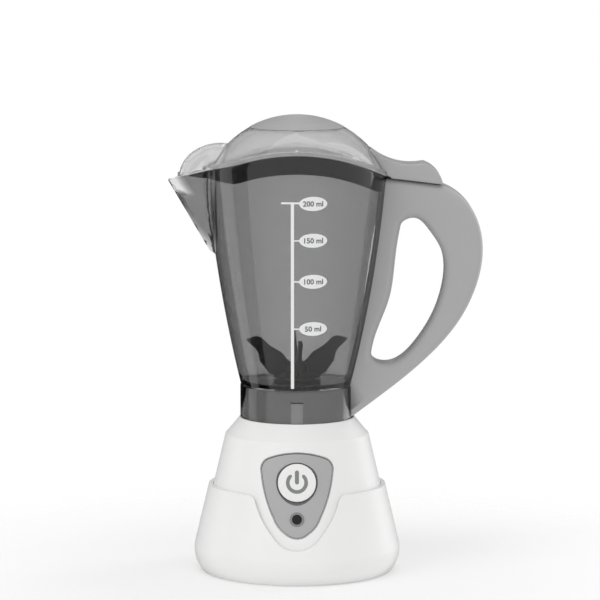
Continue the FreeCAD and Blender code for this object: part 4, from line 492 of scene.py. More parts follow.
def jug_radius(angle, height, inset=0.0):
    """Radius of the cup with its spout, joined by a small rounding."""
    cup = cup_radius(height) - inset
    if abs(angle) > SPOUT_ANGLE:
        return cup
    spout = spout_radius(angle, height, inset)
    gap = abs(cup - spout)
    if gap > SPOUT_BLEND:
        return max(cup, spout)
    return max(cup, spout) + (SPOUT_BLEND - gap) ** 2 / (4 * SPOUT_BLEND)


def column_angles():
    """Angles of the wall's columns: close over the spout, wider round the rest of the cup."""
    start = SPOUT_COLUMNS[-1]
    rest = [start + (180 - start) * k / CUP_COLUMNS for k in range(1, CUP_COLUMNS)]
    half = sorted(math.radians(a) for a in [*SPOUT_COLUMNS, *rest, *KEY_COLUMNS])
    return [-a for a in reversed(half[1:])] + half + [math.pi]


COLUMNS = column_angles()


def jug_rim(angle, inset):
    """Height at which a column of the wall meets the rim line, found from a first guess."""
    height = RIM_GUESS
    for _ in range(RIM_PASSES):
        radius = jug_radius(angle, min(height, RIM_LIMIT), inset)
        height = rim_height(-radius * math.cos(angle))
    return height


def spot(angle, radius, height):
    return (-radius * math.cos(angle), radius * math.sin(angle), height + DECK)


def wall_piece(name, profiles, material):
    """A closed wall from a profile of (radius, height) points at each column."""
    rows = len(profiles[0])
    verts = [spot(angle, *profile[row])
             for row in range(rows) for angle, profile in zip(COLUMNS, profiles)]
    return outward(new_piece(name, verts, tube_faces(len(COLUMNS), rows), [material]))


def jug_profile(angle):
    """Skirt, outside, rounded rim, inside, floor, bush hole and underside at an angle."""
    key = angle < 0 and abs(KEY_RAD * math.cos(angle)) < KEY_HALF
    skirt_in = KEY_IN if key else SKIRT_IN
    top = jug_rim(angle, 0.0) - RIM_ROUND
    inner_top = jug_rim(angle, WALL) - RIM_ROUND
    profile = [(skirt_in, 0.25), (skirt_in + 0.2, 0.0), (SKIRT_RAD - EDGE, 0.0), (SKIRT_RAD, EDGE),
               (SKIRT_RAD, NECK_TOP - 0.25), (SKIRT_RAD - 0.1, NECK_TOP - 0.05),
               (cup_radius(NECK_TOP), NECK_TOP + 0.1)]
    for row in range(1, OUTER_ROWS + 1):
        height = NECK_TOP + (top - NECK_TOP) * row / OUTER_ROWS
        profile.append((jug_radius(angle, height), height))
    outer_end = jug_radius(angle, top)
    inner_end = jug_radius(angle, inner_top, WALL)
    profile += [(outer_end - RIM_ROUND * (1 - math.cos(a)), top + RIM_ROUND * math.sin(a))
                for a in quarter_turn(3, 1)]
    profile += [(inner_end + RIM_ROUND * (1 - math.cos(a)), inner_top + RIM_ROUND * math.sin(a))
                for a in reversed(quarter_turn(3)[:3])]
    low = FLOOR + FLOOR_ROUND
    for row in range(INNER_ROWS - 1, 0, -1):
        height = low + (inner_top - low) * row / INNER_ROWS
        profile.append((jug_radius(angle, height, WALL), height))
    corner = cup_radius(FLOOR) - WALL
    profile += [(corner - FLOOR_ROUND * (1 - math.cos(a)), low - FLOOR_ROUND * math.sin(a))
                for a in quarter_turn(4)]
    return profile + [
        (FLOOR_MIDDLE, FLOOR), (BUSH_HOLE, FLOOR), (BUSH_HOLE, UNDER), (BOSS_RAD, UNDER),
        (BOSS_FOOT, THIN_UNDER), (UNDER_MIDDLE, THIN_UNDER), (SKIRT_IN - EDGE, THIN_UNDER),
        (SKIRT_IN, THIN_UNDER - EDGE), (SKIRT_IN, KEY_TOP + 0.6), (SKIRT_IN, KEY_TOP),
        (skirt_in, KEY_TOP - (0.4 if key else 0.2)),
    ]


RING_FIT = 0.35
RING_WALL = 1.5
RING_DEPTH = 7.5
RING_END_DEPTH = 0.3
RING_TAPER = 26.0
RING_TIP = 45.9
RING_ROWS = 6
RING_PROUD = 0.1


def ring_profile(angle):
    """The lid's ring inside the rim: it follows the jug's wall and runs out in the spout."""
    limit = RING_TIP / max(0.2, math.cos(angle))
    top = jug_rim(angle, WALL)
    radius = jug_radius(angle, top, WALL) - RING_FIT
    if radius > limit:
        radius = limit
        top = rim_height(-limit * math.cos(angle))
    out = radius * math.cos(angle)
    share = min(1.0, max(0.0, (out - RING_TAPER) / (RING_TIP - RING_TAPER)))
    depth = RING_DEPTH * (1 - share) + RING_END_DEPTH * share + RING_PROUD
    heights = [top + RING_PROUD - depth * k / RING_ROWS for k in range(RING_ROWS + 1)]
    outside = [(min(jug_radius(angle, height, WALL) - RING_FIT, limit), height)
               for height in heights]
    return outside + [(reach - RING_WALL, height) for reach, height in reversed(outside)]


settle(wall_piece("jug_wall", [jug_profile(a) for a in COLUMNS], SMOKE),
       "jug", "jug_smoke", "jug_body")
settle(wall_piece("lid_skirt", [ring_profile(a) for a in COLUMNS], RING_DARK),
       "lid", "blade_dark", "lid_ring")


# ---------------------------------------------------------------- printed scale on the jug

def film(name, rows, place, heights, material):
    """A closed film over rows of flat points. place(x, y, height) gives a point's spot over the
    surface below, and the two heights are those of the film's face and back."""
    width = len(rows[0])
    total = len(rows) * width
    verts = [place(x, y, height) for height in heights for row in rows for x, y in row]
    faces = []
    for r in range(len(rows) - 1):
        for c in range(width - 1):
            a = r * width + c
            cell = (a, a + 1, a + width + 1, a + width)
            faces += [cell, tuple(total + i for i in reversed(cell))]
    edge = list(range(width)) + [r * width + width - 1 for r in range(1, len(rows))]
    edge += [(len(rows) - 1) * width + c for c in range(width - 2, -1, -1)]
    edge += [r * width for r in range(len(rows) - 2, 0, -1)]
    faces += [(b, a, total + a, total + b) for a, b in zip(edge, edge[1:] + edge[:1])]
    return outward(new_piece(name, verts, faces, [material]))


LEVELS = [("200 ml", 93.2), ("150 ml", 77.9), ("100 ml", 60.7), ("50 ml", 40.7)]
LINE_X = -1.85
LINE_HALF = 0.66
LINE_LOW, LINE_HIGH = 15.0, 93.3
TOP_LEFT, TOP_RIGHT = -4.6, 3.4
TOP_LOW, TOP_HIGH = 93.1, 93.9
TICK_LEFT, TICK_RIGHT = 0.5, 3.3
TICK_HALF = 0.3
OVAL_X = 6.65
OVAL_WIDE, OVAL_HIGH = 5.75, 2.95
INK_HEIGHTS = (0.07, 0.02)
TEXT_SIZE = 3.05
TEXT_BOLD = 0.055
TEXT_LIFT = 0.12
TEXT_DEPTH = 0.04


def on_front(x, height, lift):
    """A point over the front of the jug's wall."""
    radius = cup_radius(height) + lift
    return (x, -math.sqrt(radius ** 2 - x ** 2), height + DECK)


def bar(left, right, low, high):
    tall = int((high - low) / 2) + 1
    wide = int(right - left) + 1
    rows = [[(left + (right - left) * c / wide, low + (high - low) * r / tall)
             for c in range(wide + 1)] for r in range(tall + 1)]
    return film("bar", rows, on_front, INK_HEIGHTS, INK)


def oval(height):
    rows = []
    for r in range(17):
        up = math.sin((-1 + 2 * r / 16) * math.pi / 2)
        wide = OVAL_WIDE * max(math.sqrt(max(0.0, 1 - up * up)), 0.02)
        rows.append([(OVAL_X + wide * c / 8, height + OVAL_HIGH * up) for c in range(-8, 9)])
    return film("oval", rows, on_front, INK_HEIGHTS, INK)


def joined(name, pieces, material):
    """Several pieces as one."""
    work = bmesh.new()
    for piece in pieces:
        work.from_mesh(piece.data)
        bpy.data.objects.remove(piece)
    mesh = bpy.data.meshes.new(name)
    work.to_mesh(mesh)
    work.free()
    mesh.materials.append(material)
    smooth_by_angle(mesh)
    return linked(name, mesh)


def flat_text(words):
    """Points and faces of the words, centred on the origin."""
    curve = bpy.data.curves.new("words", "FONT")
    curve.body = words
    curve.size = TEXT_SIZE
    curve.align_x = "CENTER"
    curve.align_y = "CENTER"
    curve.resolution_u = 3
    curve.offset = TEXT_BOLD
    writing = linked("words", curve)
    graph = bpy.context.evaluated_depsgraph_get()
    mesh = bpy.data.meshes.new_from_object(writing.evaluated_get(graph))
    bpy.data.objects.remove(writing)
    points = [tuple(v.co) for v in mesh.vertices]
    faces = [tuple(p.vertices) for p in mesh.polygons]
    bpy.data.meshes.remove(mesh)
    middle = (min(p[1] for p in points) + max(p[1] for p in points)) / 2
    return [(x, y - middle) for x, y, _ in points], faces


def make_scale():
    parts = [bar(LINE_X - LINE_HALF, LINE_X + LINE_HALF, LINE_LOW, LINE_HIGH),
             bar(LINE_X + TOP_LEFT, LINE_X + TOP_RIGHT, TOP_LOW, TOP_HIGH), oval(LEVELS[0][1])]
    for _, height in LEVELS[1:]:
        parts += [oval(height), bar(LINE_X + TICK_LEFT, LINE_X + TICK_RIGHT,
                                    height - TICK_HALF, height + TICK_HALF)]
    settle(joined("scale_print", parts, INK), "jug", "button_white")
    verts, faces = [], []
    for words, height in LEVELS:
        points, cells = flat_text(words)
        start = len(verts)
        verts += [on_front(x + OVAL_X, y + height, TEXT_LIFT) for x, y in points]
        faces += [tuple(start + i for i in cell) for cell in cells]
    writing = new_piece("scale_numbers", verts, faces, [TEXT_INK])
    thick = writing.modifiers.new("film", "SOLIDIFY")
    thick.thickness = TEXT_DEPTH * MM
    thick.offset = -1
    settle(baked(writing), "jug", "blade_dark")


make_scale()


# ---------------------------------------------------------------- pieces with their CAD shape

WELL_RAD = 10.4
WELL_TOP = 77.8
TAB_GRAIN = 0.3
TAB_PASSES = 36
TAB_STILL, TAB_FREE = 38.5, 43.0
TAB_SMOOTH = 60


def soften_tab(tab):
    """Rounds the thumb tab's edges where it is free of the lid's flange."""
    even = tab.modifiers.new("even", "REMESH")
    even.mode = "VOXEL"
    even.voxel_size = TAB_GRAIN * MM
    baked(tab, TAB_SMOOTH)
    loose = tab.vertex_groups.new(name="loose")
    for vertex in tab.data.vertices:
        loose.add([vertex.index], ease(vertex.co.x / MM, TAB_STILL, TAB_FREE), "REPLACE")
    relax = tab.modifiers.new("relax", "SMOOTH")
    relax.factor = 0.5
    relax.iterations = TAB_PASSES
    relax.vertex_group = "loose"
    baked(tab, TAB_SMOOTH)
    tab.vertex_groups.clear()


def darken_well(collar):
    """Paints the walls of the collar's well near black, as painted shade in the well."""
    collar.data.materials.append(WELL_SHADE)
    for face in collar.data.polygons:
        away = math.hypot(face.center.x, face.center.y) / MM
        # Faces inside the well below its lip get the dark painted shade.
        if away < WELL_RAD and face.center.z / MM < WELL_TOP:
            face.material_index = 1


# CAD node, piece, material, body, slot, and what else is done to the copy.
CARRIED = [
    ("base_lower_shell", "lower_housing", WHITE, "base", "housing_white", [turned_normals]),
    ("base_upper_shell", "upper_housing", WHITE, "base", "housing_white", [turned_normals]),
    ("coupling_collar", "collar", COLLAR_WHITE, "base", "collar_white",
     [turned_normals, darken_well]),
    ("battery_door", "door", WHITE, "battery_door", "housing_white", []),
    ("handle", "grip_handle", GREY, "jug", "handle_grey", []),
    ("lid_dome", "lid_shell", DOME, "lid", "lid_clear", []),
    ("lid_cap", "lid_button", GREY, "lid", "handle_grey", []),
    ("lid_tab", "thumb_tab", GREY, "lid", "handle_grey", [soften_tab]),
    ("jug_coupling", "coupling", DARK, "blade", "blade_dark", [turned_normals]),
    ("drive_dog", "dog", DARK, "drive", "blade_dark", [turned_normals]),
    ("shaft_bush", "bush", BRASS, "jug", "brass", [turned_normals]),
]
for node, name, material, body, slot, steps in CARRIED:
    piece = cad_copy(node, name, material)
    for step in steps:
        step(piece)
    settle(piece, body, slot, node)


# ---------------------------------------------------------------- panel, button and indicator

BUTTON_Z = 42.2
BUTTON_RAD = 7.9
BUTTON_GAP = 0.3
BUTTON_FACE = 7.3
BUTTON_EDGE = 0.6
BUTTON_PROUD = 0.9
BUTTON_CROWN = 0.35
# Side, retaining flange, hollow and stem of the button, as radius and height.
BUTTON_LOW = [(BUTTON_RAD, -4.2), (9.0, -4.2), (9.0, -5.5), (6.6, -5.5), (6.6, -0.4), (1.9, -0.4),
              (1.9, -7.0), (0, -7.0)]
SYMBOL_RAD = 4.55
SYMBOL_STROKE = 1.5
SYMBOL_GAP = math.radians(35)
SYMBOL_STEPS = 48
STEM_LOW, STEM_HIGH, STEM_HALF = -0.7, 5.1, 0.84
STEM_STEPS = 20
STROKE_POINTS = (-1, -0.33, 0.33, 1)
SYMBOL_HEIGHTS = (0.05, -0.15)
INDICATOR_Z = 27.4
INDICATOR_RAD = 2.1
PANEL_JOINT = 0.42
PANEL_PROUD = 0.4
PANEL_SEAT = 1.0
PANEL_SKIRT = 0.35
PANEL_ROUND = 0.7
PANEL_FLATTEN = 0.85
PANEL_LIP = 0.3
PANEL_ROWS = 12
BACK_ROWS = 6
RIM_ROWS, LIP_ROWS = 4, 11  # rows of the panel's edge at its rim, and at its hole and back, that get the dark painted shade
# Arcs of the panel's outline seen from the front: (across, height) of a middle and an end.
PANEL_ARCS = [
    (0, 54.4, 11.5, 52.2), (14.5, 49.6, 15.0, 45.8), (13.3, 36.5, 9.8, 27.5),
    (7.9, 24.1, 5.0, 21.5), (0, 19.5, -5.0, 21.5), (-7.9, 24.1, -9.8, 27.5),
    (-13.3, 36.5, -15.0, 45.8), (-14.5, 49.6, -11.5, 52.2),
]
ARC_STEPS = 14


def cone_radius(height, proud=0.0):
    return SEAM_RAD - (height - SEAM_Z) * SLOPE + proud


def on_cone(x, height, proud):
    radius = cone_radius(height, proud)
    return (x, -math.sqrt(radius ** 2 - x ** 2), height)


def arc_points(start, middle, end):
    """Points of the arc through three points, without its start."""
    (ax, ay), (bx, by), (cx, cy) = start, middle, end
    d = 2 * (ax * (by - cy) + bx * (cy - ay) + cx * (ay - by))
    a2, b2, c2 = ax * ax + ay * ay, bx * bx + by * by, cx * cx + cy * cy
    ux = (a2 * (by - cy) + b2 * (cy - ay) + c2 * (ay - by)) / d
    uy = (a2 * (cx - bx) + b2 * (ax - cx) + c2 * (bx - ax)) / d
    radius = math.hypot(ax - ux, ay - uy)
    first = math.atan2(ay - uy, ax - ux)
    mid = (math.atan2(by - uy, bx - ux) - first) % TURN
    last = (math.atan2(cy - uy, cx - ux) - first) % TURN
    if mid > last:
        last -= TURN
    turns = [first + last * k / ARC_STEPS for k in range(1, ARC_STEPS + 1)]
    return [(ux + radius * math.cos(a), uy + radius * math.sin(a)) for a in turns]


def panel_outline():
    here = PANEL_ARCS[-1][2:]
    points = []
    for arc in PANEL_ARCS:
        points += arc_points(here, arc[:2], arc[2:])
        here = arc[2:]
    return points


def inset_outline(points, inset):
    """The closed outline moved inwards."""
    result = []
    for k, point in enumerate(points):
        along = (Vector(points[(k + 1) % len(points)]) - Vector(points[k - 1])).normalized()
        result.append(tuple(Vector(point) + Vector((along.y, -along.x)) * inset))
    return result


def between(starts, ends, share):
    """Points part of the way from one outline to another."""
    return [(a[0] * (1 - share) + b[0] * share, a[1] * (1 - share) + b[1] * share)
            for a, b in zip(starts, ends)]


def slope_frame(height):
    """The frame of a round piece set in the housing's slope, its Z pointing out of the slope."""
    centre = Vector((0, -cone_radius(height), height))
    return Matrix.Translation(centre) @ Matrix.Rotation(math.pi / 2 - TILT, 4, "X")


def slope_lathe(name, profile, material, height, columns=64, closed=False):
    piece = lathe(name, profile, material, columns, closed)
    place = slope_frame(height)
    for vertex in piece.data.vertices:
        vertex.co = (place @ (vertex.co / MM)) * MM
    piece.data.update()
    return piece


def panel_rings():
    """Rings of the panel's shell on the cone: seat, rim, face, lip of the hole and back."""
    outline = inset_outline(panel_outline(), PANEL_JOINT)
    hole = BUTTON_RAD + BUTTON_GAP
    up = math.cos(TILT)
    turns = [math.atan2(z - BUTTON_Z, x) for x, z in outline]
    inner = [(hole * math.cos(a), BUTTON_Z + hole * math.sin(a) * up) for a in turns]
    flat = inset_outline(outline, PANEL_ROUND)
    rings = [(outline, -PANEL_SEAT), (outline, -PANEL_SKIRT)]
    for turn in quarter_turn(4):
        proud = PANEL_PROUD - PANEL_ROUND * (1 - math.sin(turn)) * PANEL_FLATTEN
        rings.append((inset_outline(outline, PANEL_ROUND * (1 - math.cos(turn))), proud))
    rings += [(between(flat, inner, step / PANEL_ROWS), PANEL_PROUD)
              for step in range(1, PANEL_ROWS)]
    turns = [math.atan2((z - BUTTON_Z) / up, x) for x, z in inner]
    for turn in quarter_turn(3):
        wide = hole + PANEL_LIP * (1 - math.sin(turn))
        ring = [(wide * math.cos(a), BUTTON_Z + wide * math.sin(a) * up) for a in turns]
        rings.append((ring, PANEL_PROUD - PANEL_LIP * (1 - math.cos(turn))))
    rings.append((inner, -PANEL_SEAT))
    rings += [(between(inner, outline, step / BACK_ROWS), -PANEL_SEAT)
              for step in range(1, BACK_ROWS)]
    return [[on_cone(x, z, proud) for x, z in ring] for ring, proud in rings]


def make_panel():
    rings = panel_rings()
    count = len(rings[0])
    verts = [v for ring in rings for v in ring]
    panel = new_piece("panel", verts, tube_faces(count, len(rings)), [PANEL, PANEL_EDGE_SHADE])
    # The rim rows and the rows at the hole and back get the dark painted shade.
    for face in panel.data.polygons:
        row = face.index // count
        if row < RIM_ROWS or row >= len(rings) - LIP_ROWS:
            face.material_index = 1
    outward(panel)
    bore = [(0, -6), (INDICATOR_RAD + 0.1, -6), (INDICATOR_RAD + 0.1, 6), (0, 6)]
    cutter = slope_lathe("panel_cutter", bore, PANEL, INDICATOR_Z)
    hollow = panel.modifiers.new("hole", "BOOLEAN")
    hollow.object = cutter
    hollow.operation = "DIFFERENCE"
    hollow.solver = "EXACT"
    baked(panel)
    bpy.data.objects.remove(cutter)
    settle(panel, "base", "panel_grey", "control_panel")


def crown(radius):
    """Height of the button's crowned face at a distance from its centre."""
    ball = (BUTTON_FACE ** 2 + BUTTON_CROWN ** 2) / (2 * BUTTON_CROWN)
    away = min(radius, BUTTON_FACE)
    return BUTTON_PROUD + BUTTON_CROWN - ball + math.sqrt(ball ** 2 - away ** 2)


BUTTON_FRAME = slope_frame(BUTTON_Z)


def on_button(x, y, lift):
    return tuple(BUTTON_FRAME @ Vector((x, y, crown(math.hypot(x, y)) + lift)))


def symbol_ring():
    """Rows across the open ring's stroke, from one rounded end to the other."""
    middle = SYMBOL_RAD - SYMBOL_STROKE / 2
    rows = []
    for k in range(SYMBOL_STEPS + 1):
        angle = math.pi / 2 + SYMBOL_GAP + (TURN - 2 * SYMBOL_GAP) * k / SYMBOL_STEPS
        near = min(k, SYMBOL_STEPS - k, 3) / 3.0
        half = SYMBOL_STROKE / 2 * max(math.sqrt(1 - (1 - near) ** 2), 0.25)
        rows.append([((middle + half * v) * math.cos(angle), (middle + half * v) * math.sin(angle))
                     for v in STROKE_POINTS])
    return rows


def symbol_stem():
    """Rows across the upright stroke, with rounded ends."""
    rows = []
    for k in range(STEM_STEPS + 1):
        y = STEM_LOW + (STEM_HIGH - STEM_LOW) * k / STEM_STEPS
        inside = max(0.0, STEM_HALF - min(y - STEM_LOW, STEM_HIGH - y))
        wide = math.sqrt(max(0.02, STEM_HALF ** 2 - inside ** 2))
        rows.append([(wide * v, y) for v in STROKE_POINTS])
    return rows


def make_button():
    face = [(BUTTON_FACE * k / 10, crown(BUTTON_FACE * k / 10)) for k in range(11)]
    edge = [(BUTTON_FACE + BUTTON_EDGE * math.sin(a),
             BUTTON_PROUD - BUTTON_EDGE * (1 - math.cos(a))) for a in quarter_turn(6, 1)]
    cap = slope_lathe("button_cap", face + edge + BUTTON_LOW, BUTTON, BUTTON_Z, 96)
    settle(cap, "power_button", "button_white", "power_button")
    for name, rows in (("symbol_ring", symbol_ring()), ("symbol_bar", symbol_stem())):
        settle(film(name, rows, on_button, SYMBOL_HEIGHTS, SYMBOL), "power_button", "panel_grey")


def make_indicator():
    bead = INDICATOR_RAD - 0.08
    window = [(bead * k / 6, 0.42 + 0.20 * math.sqrt(1 - (k / 6) ** 2)) for k in range(7)]
    window += [(bead, 0.30), (bead, -3.4), (0, -3.4)]
    settle(slope_lathe("indicator_window", window, LENS, INDICATOR_Z),
           "base", "lens_dark", "indicator_lens")
    inner, outer = bead + 0.03, INDICATOR_RAD + 0.9
    ring = rounded([(inner, 0.41), (outer, 0.41), (outer, 0.50), (INDICATOR_RAD + 0.2, 0.64),
                    (inner, 0.60)], 0.12, 3)
    settle(slope_lathe("indicator_ring", ring, BEZEL, INDICATOR_Z, 72, closed=True),
           "base", "tray_grey")


make_panel()
make_button()
make_indicator()


# ---------------------------------------------------------------- repeated pieces

def new_tree(name, sockets, result):
    """A tree with named inputs, given with their kinds and values, and the name of its result."""
    tree = bpy.data.node_groups.new(name, "GeometryNodeTree")
    for label, kind, value in sockets:
        socket = tree.interface.new_socket(label, in_out="INPUT", socket_type="NodeSocket" + kind)
        if value is not None:
            socket.default_value = value
    tree.interface.new_socket(result, in_out="OUTPUT", socket_type="NodeSocketGeometry")
    return tree, tree.nodes.new("NodeGroupInput").outputs


def finish(tree, place, material):
    """Ends a tree in real geometry with its material."""
    real = add_node(tree, "GeometryNodeRealizeInstances", {0: place.outputs[0]})
    coat = add_node(tree, "GeometryNodeSetMaterial", {
        "Geometry": real.outputs[0], "Material": material})
    add_node(tree, "NodeGroupOutput", {0: coat.outputs[0]})


def grown(piece, tree, values):
    """Runs a tree on a piece with the named inputs set, and keeps the plain mesh it makes."""
    modifier = piece.modifiers.new("tree", "NODES")
    modifier.node_group = tree
    for item in tree.interface.items_tree:
        if item.item_type == "SOCKET" and item.in_out == "INPUT" and item.name in values:
            modifier[item.identifier] = values[item.name]
    return baked(piece, 40)


def fin_tree(material):
    """Turns one fin into a ring of fins about the drive axis."""
    tree, inputs = new_tree("fin_ring", [
        ("Fin", "Geometry", None), ("Fins", "Int", 4), ("First turn", "Float", 0.0)], "Ring")
    spots = add_node(tree, "GeometryNodeMeshLine", {"Count": inputs["Fins"], "Offset": (0, 0, 0)})
    step = maths(tree, "DIVIDE", TURN, inputs["Fins"])
    index = tree.nodes.new("GeometryNodeInputIndex")
    angle = maths(tree, "MULTIPLY_ADD", index.outputs[0], step, inputs["First turn"])
    turn = add_node(tree, "ShaderNodeCombineXYZ", {"Z": angle})
    place = add_node(tree, "GeometryNodeInstanceOnPoints", {
        "Points": spots.outputs[0], "Instance": inputs["Fin"], "Rotation": turn.outputs[0]})
    finish(tree, place, material)
    return tree


# The blade's outlines, as distance from the axis and height above the jug's floor.
FIN_OUTLINE = [
    (3.2, 2.0), (3.2, 8.0), (4.8, 9.5), (6.3, 11.7), (11.1, 14.4), (15.0, 18.1), (16.9, 18.8),
    (21.5, 17.6), (21.0, 16.6), (17.9, 13.9), (16.4, 11.7), (15.6, 7.6), (14.6, 7.3),
    (14.7, 6.3), (13.7, 6.0), (13.7, 5.1), (12.8, 4.7), (12.7, 3.6), (10.2, 2.2),
]
FIN_HALF = 0.75
FIN_EDGE = 0.22
FIN_TURN = math.radians(4.6)
HUB_OUTLINE = [
    (2.0, 1.0), (10.0, 1.0), (10.0, 2.2), (5.6, 3.2), (4.6, 4.2), (4.6, 6.9), (2.6, 8.3),
]
HUB_TOP = 8.4
SHAFT_RAD, SHAFT_TOP = 2.0, 7.4


def make_blade():
    floor = DECK + FLOOR
    count = len(FIN_OUTLINE)
    verts = [(x, side, floor + z) for side in (-FIN_HALF, FIN_HALF) for x, z in FIN_OUTLINE]
    faces = [tuple(range(count)), tuple(reversed(range(count, 2 * count)))]
    faces += [(k, (k + 1) % count, count + (k + 1) % count, count + k) for k in range(count)]
    fins = outward(new_piece("blade_fins", verts, faces, [DARK]))
    soften = fins.modifiers.new("edges", "BEVEL")
    soften.width = FIN_EDGE * MM
    soften.segments = 2
    soften.limit_method = "ANGLE"
    soften.angle_limit = math.radians(25)
    baked(fins)
    grown(fins, fin_tree(DARK), {"Fins": 4, "First turn": FIN_TURN})
    settle(fins, "blade", "blade_dark", "blade_rotor")
    hub = [p for p in rounded(HUB_OUTLINE, 0.5, 4) if p[0] > SHAFT_RAD + 0.05]
    profile = [HUB_OUTLINE[0], *hub, (0, HUB_TOP), (0, SHAFT_TOP), (SHAFT_RAD, SHAFT_TOP)]
    profile = [(radius, floor + height) for radius, height in profile]
    settle(lathe("blade_hub", profile, DARK, 72, closed=True), "blade", "blade_dark")


def screw_tree(material):
    """Cuts a cross recess into a screw's head and sets a screw on each point."""
    tree, inputs = new_tree("screw_set", [
        ("Spots", "Geometry", None), ("Screw", "Object", None), ("Recess length", "Float", 0.002),
        ("Recess width", "Float", 0.0005), ("Recess depth", "Float", 0.0008),
        ("Head top", "Float", 0.0)], "Set")
    single = add_node(tree, "GeometryNodeObjectInfo", {"Object": inputs["Screw"]})
    single.transform_space = "ORIGINAL"
    shape = single.outputs["Geometry"]
    lift = add_node(tree, "ShaderNodeCombineXYZ", {"Z": inputs["Head top"]})
    for along, across in ("XY", "YX"):
        size = add_node(tree, "ShaderNodeCombineXYZ", {
            along: inputs["Recess length"], across: inputs["Recess width"],
            "Z": inputs["Recess depth"]})
        bit = add_node(tree, "GeometryNodeMeshCube", {"Size": size.outputs[0]})
        move = add_node(tree, "GeometryNodeTransform", {
            "Geometry": bit.outputs[0], "Translation": lift.outputs[0]})
        carve = tree.nodes.new("GeometryNodeMeshBoolean")
        carve.operation = "DIFFERENCE"
        fill(carve, {"Mesh 1": shape, "Mesh 2": move.outputs[0]})
        shape = carve.outputs["Mesh"]
    place = add_node(tree, "GeometryNodeInstanceOnPoints", {
        "Points": inputs["Spots"], "Instance": shape})
    finish(tree, place, material)
    return tree


def islands(node):
    """Vertices of each separate solid in a CAD node."""
    work = merged(frame["nodes"][node].data, CAD_MERGE)
    seen = set()
    groups = []
    for vertex in work.verts:
        if vertex in seen:
            continue
        seen.add(vertex)
        stack, group = [vertex], []
        while stack:
            here = stack.pop()
            group.append(here.co / MM)
            for edge in here.link_edges:
                other = edge.other_vert(here)
                if other not in seen:
                    seen.add(other)
                    stack.append(other)
        groups.append(group)
    work.free()
    return groups


NEAR = 0.05  # from an end or from the head's rim
SCREW_EDGE = 0.1
SCREW_POINT = 0.3
HEAD_DOME = 0.45  # share of the head's height
RECESS_WIDTH = 0.5


def make_screws(node, name, body):
    """Pan-head screws with a cross recess in place of a node's plain upright screws."""
    groups = islands(node)
    spots = []
    for group in groups:
        x, y = ((min(v[i] for v in group) + max(v[i] for v in group)) / 2 for i in (0, 1))
        spots.append((x, y, min(v.z for v in group)))
    x, y, low = spots[0]
    length = max(v.z for v in groups[0]) - low
    reach = [(math.hypot(v.x - x, v.y - y), v.z - low) for v in groups[0]]
    head_rad = max(r for r, _ in reach)
    low_rad = max(r for r, z in reach if z < NEAR)
    shank = min(low_rad, max(r for r, z in reach if z > length - NEAR))
    levels = [z for r, z in reach if r > head_rad - NEAR]
    head = max(levels) - min(levels)
    under, dome = length - head, head * HEAD_DOME
    profile = [(0, 0), (shank - 0.25, 0), (shank, SCREW_POINT), (shank, under),
               (head_rad - SCREW_EDGE, under), (head_rad, under + SCREW_EDGE),
               (head_rad, length - dome)]
    turns = quarter_turn(6, 1)
    profile += [(head_rad * math.cos(a) ** 0.6, length - dome * (1 - math.sin(a)))
                for a in turns[:-1]] + [(0, length)]
    screw = lathe(name + "_one", profile, STEEL, 32)
    head_down = low_rad > head_rad - NEAR
    if head_down:
        for vertex in screw.data.vertices:
            vertex.co.z = length * MM - vertex.co.z
        screw.data.flip_normals()
    piece = new_piece(name, spots, [], [STEEL])
    grown(piece, screw_tree(STEEL), {
        "Screw": screw, "Recess length": 1.3 * head_rad * MM, "Recess width": RECESS_WIDTH * MM,
        "Recess depth": 1.1 * head * MM, "Head top": 0.0 if head_down else length * MM})
    bpy.data.objects.remove(screw)
    settle(piece, body, "steel", node)


make_blade()
make_screws("base_screws", "housing_screws", "base")
make_screws("collar_screws", "deck_screws", "base")
make_screws("gearbox_screws", "plate_screws", "base")
make_screws("battery_door_screw", "door_screw", "battery_door")

# Materials of the CAD nodes that stay, by slot.
FINISHES = {
    "steel": STEEL, "brass": BRASS, "frame_plastic": FRAME_PLASTIC, "gear_plastic": GEAR,
    "tray_grey": TRAY, "board_green": BOARD, "lead_cover": LEAD, "light_red": LIGHT,
    "motor_metal": STEEL, "motor_cap": WHITE, "cell_case": CELL, "switch_black": TRAY,
    "seal_rubber": RUBBER, "blade_dark": DARK, "housing_white": WHITE, "jug_smoke": SMOKE,
    "handle_grey": GREY, "lid_clear": DOME, "panel_grey": PANEL, "button_white": BUTTON,
    "collar_white": COLLAR_WHITE, "lens_dark": LENS,
}
for part in frame["record"]["subparts"]:
    for holder in frame["nodes"][part["node"]].material_slots:
        holder.material = FINISHES[part["material_slot"]]


# ---------------------------------------------------------------- floor, light and camera

SHEET_HALF = 3.0
FADE_START, FADE_END = 0.07, 0.22
CARD_HALF = 1.6
WORLD_LIGHT = 0.81
LAMP_AIM = Vector((0, 0, 0.1))
EYE = Vector((0.00126, -1.393, 0.281))
EYE_AIM = Vector((0.00126, 0, 0.1143))


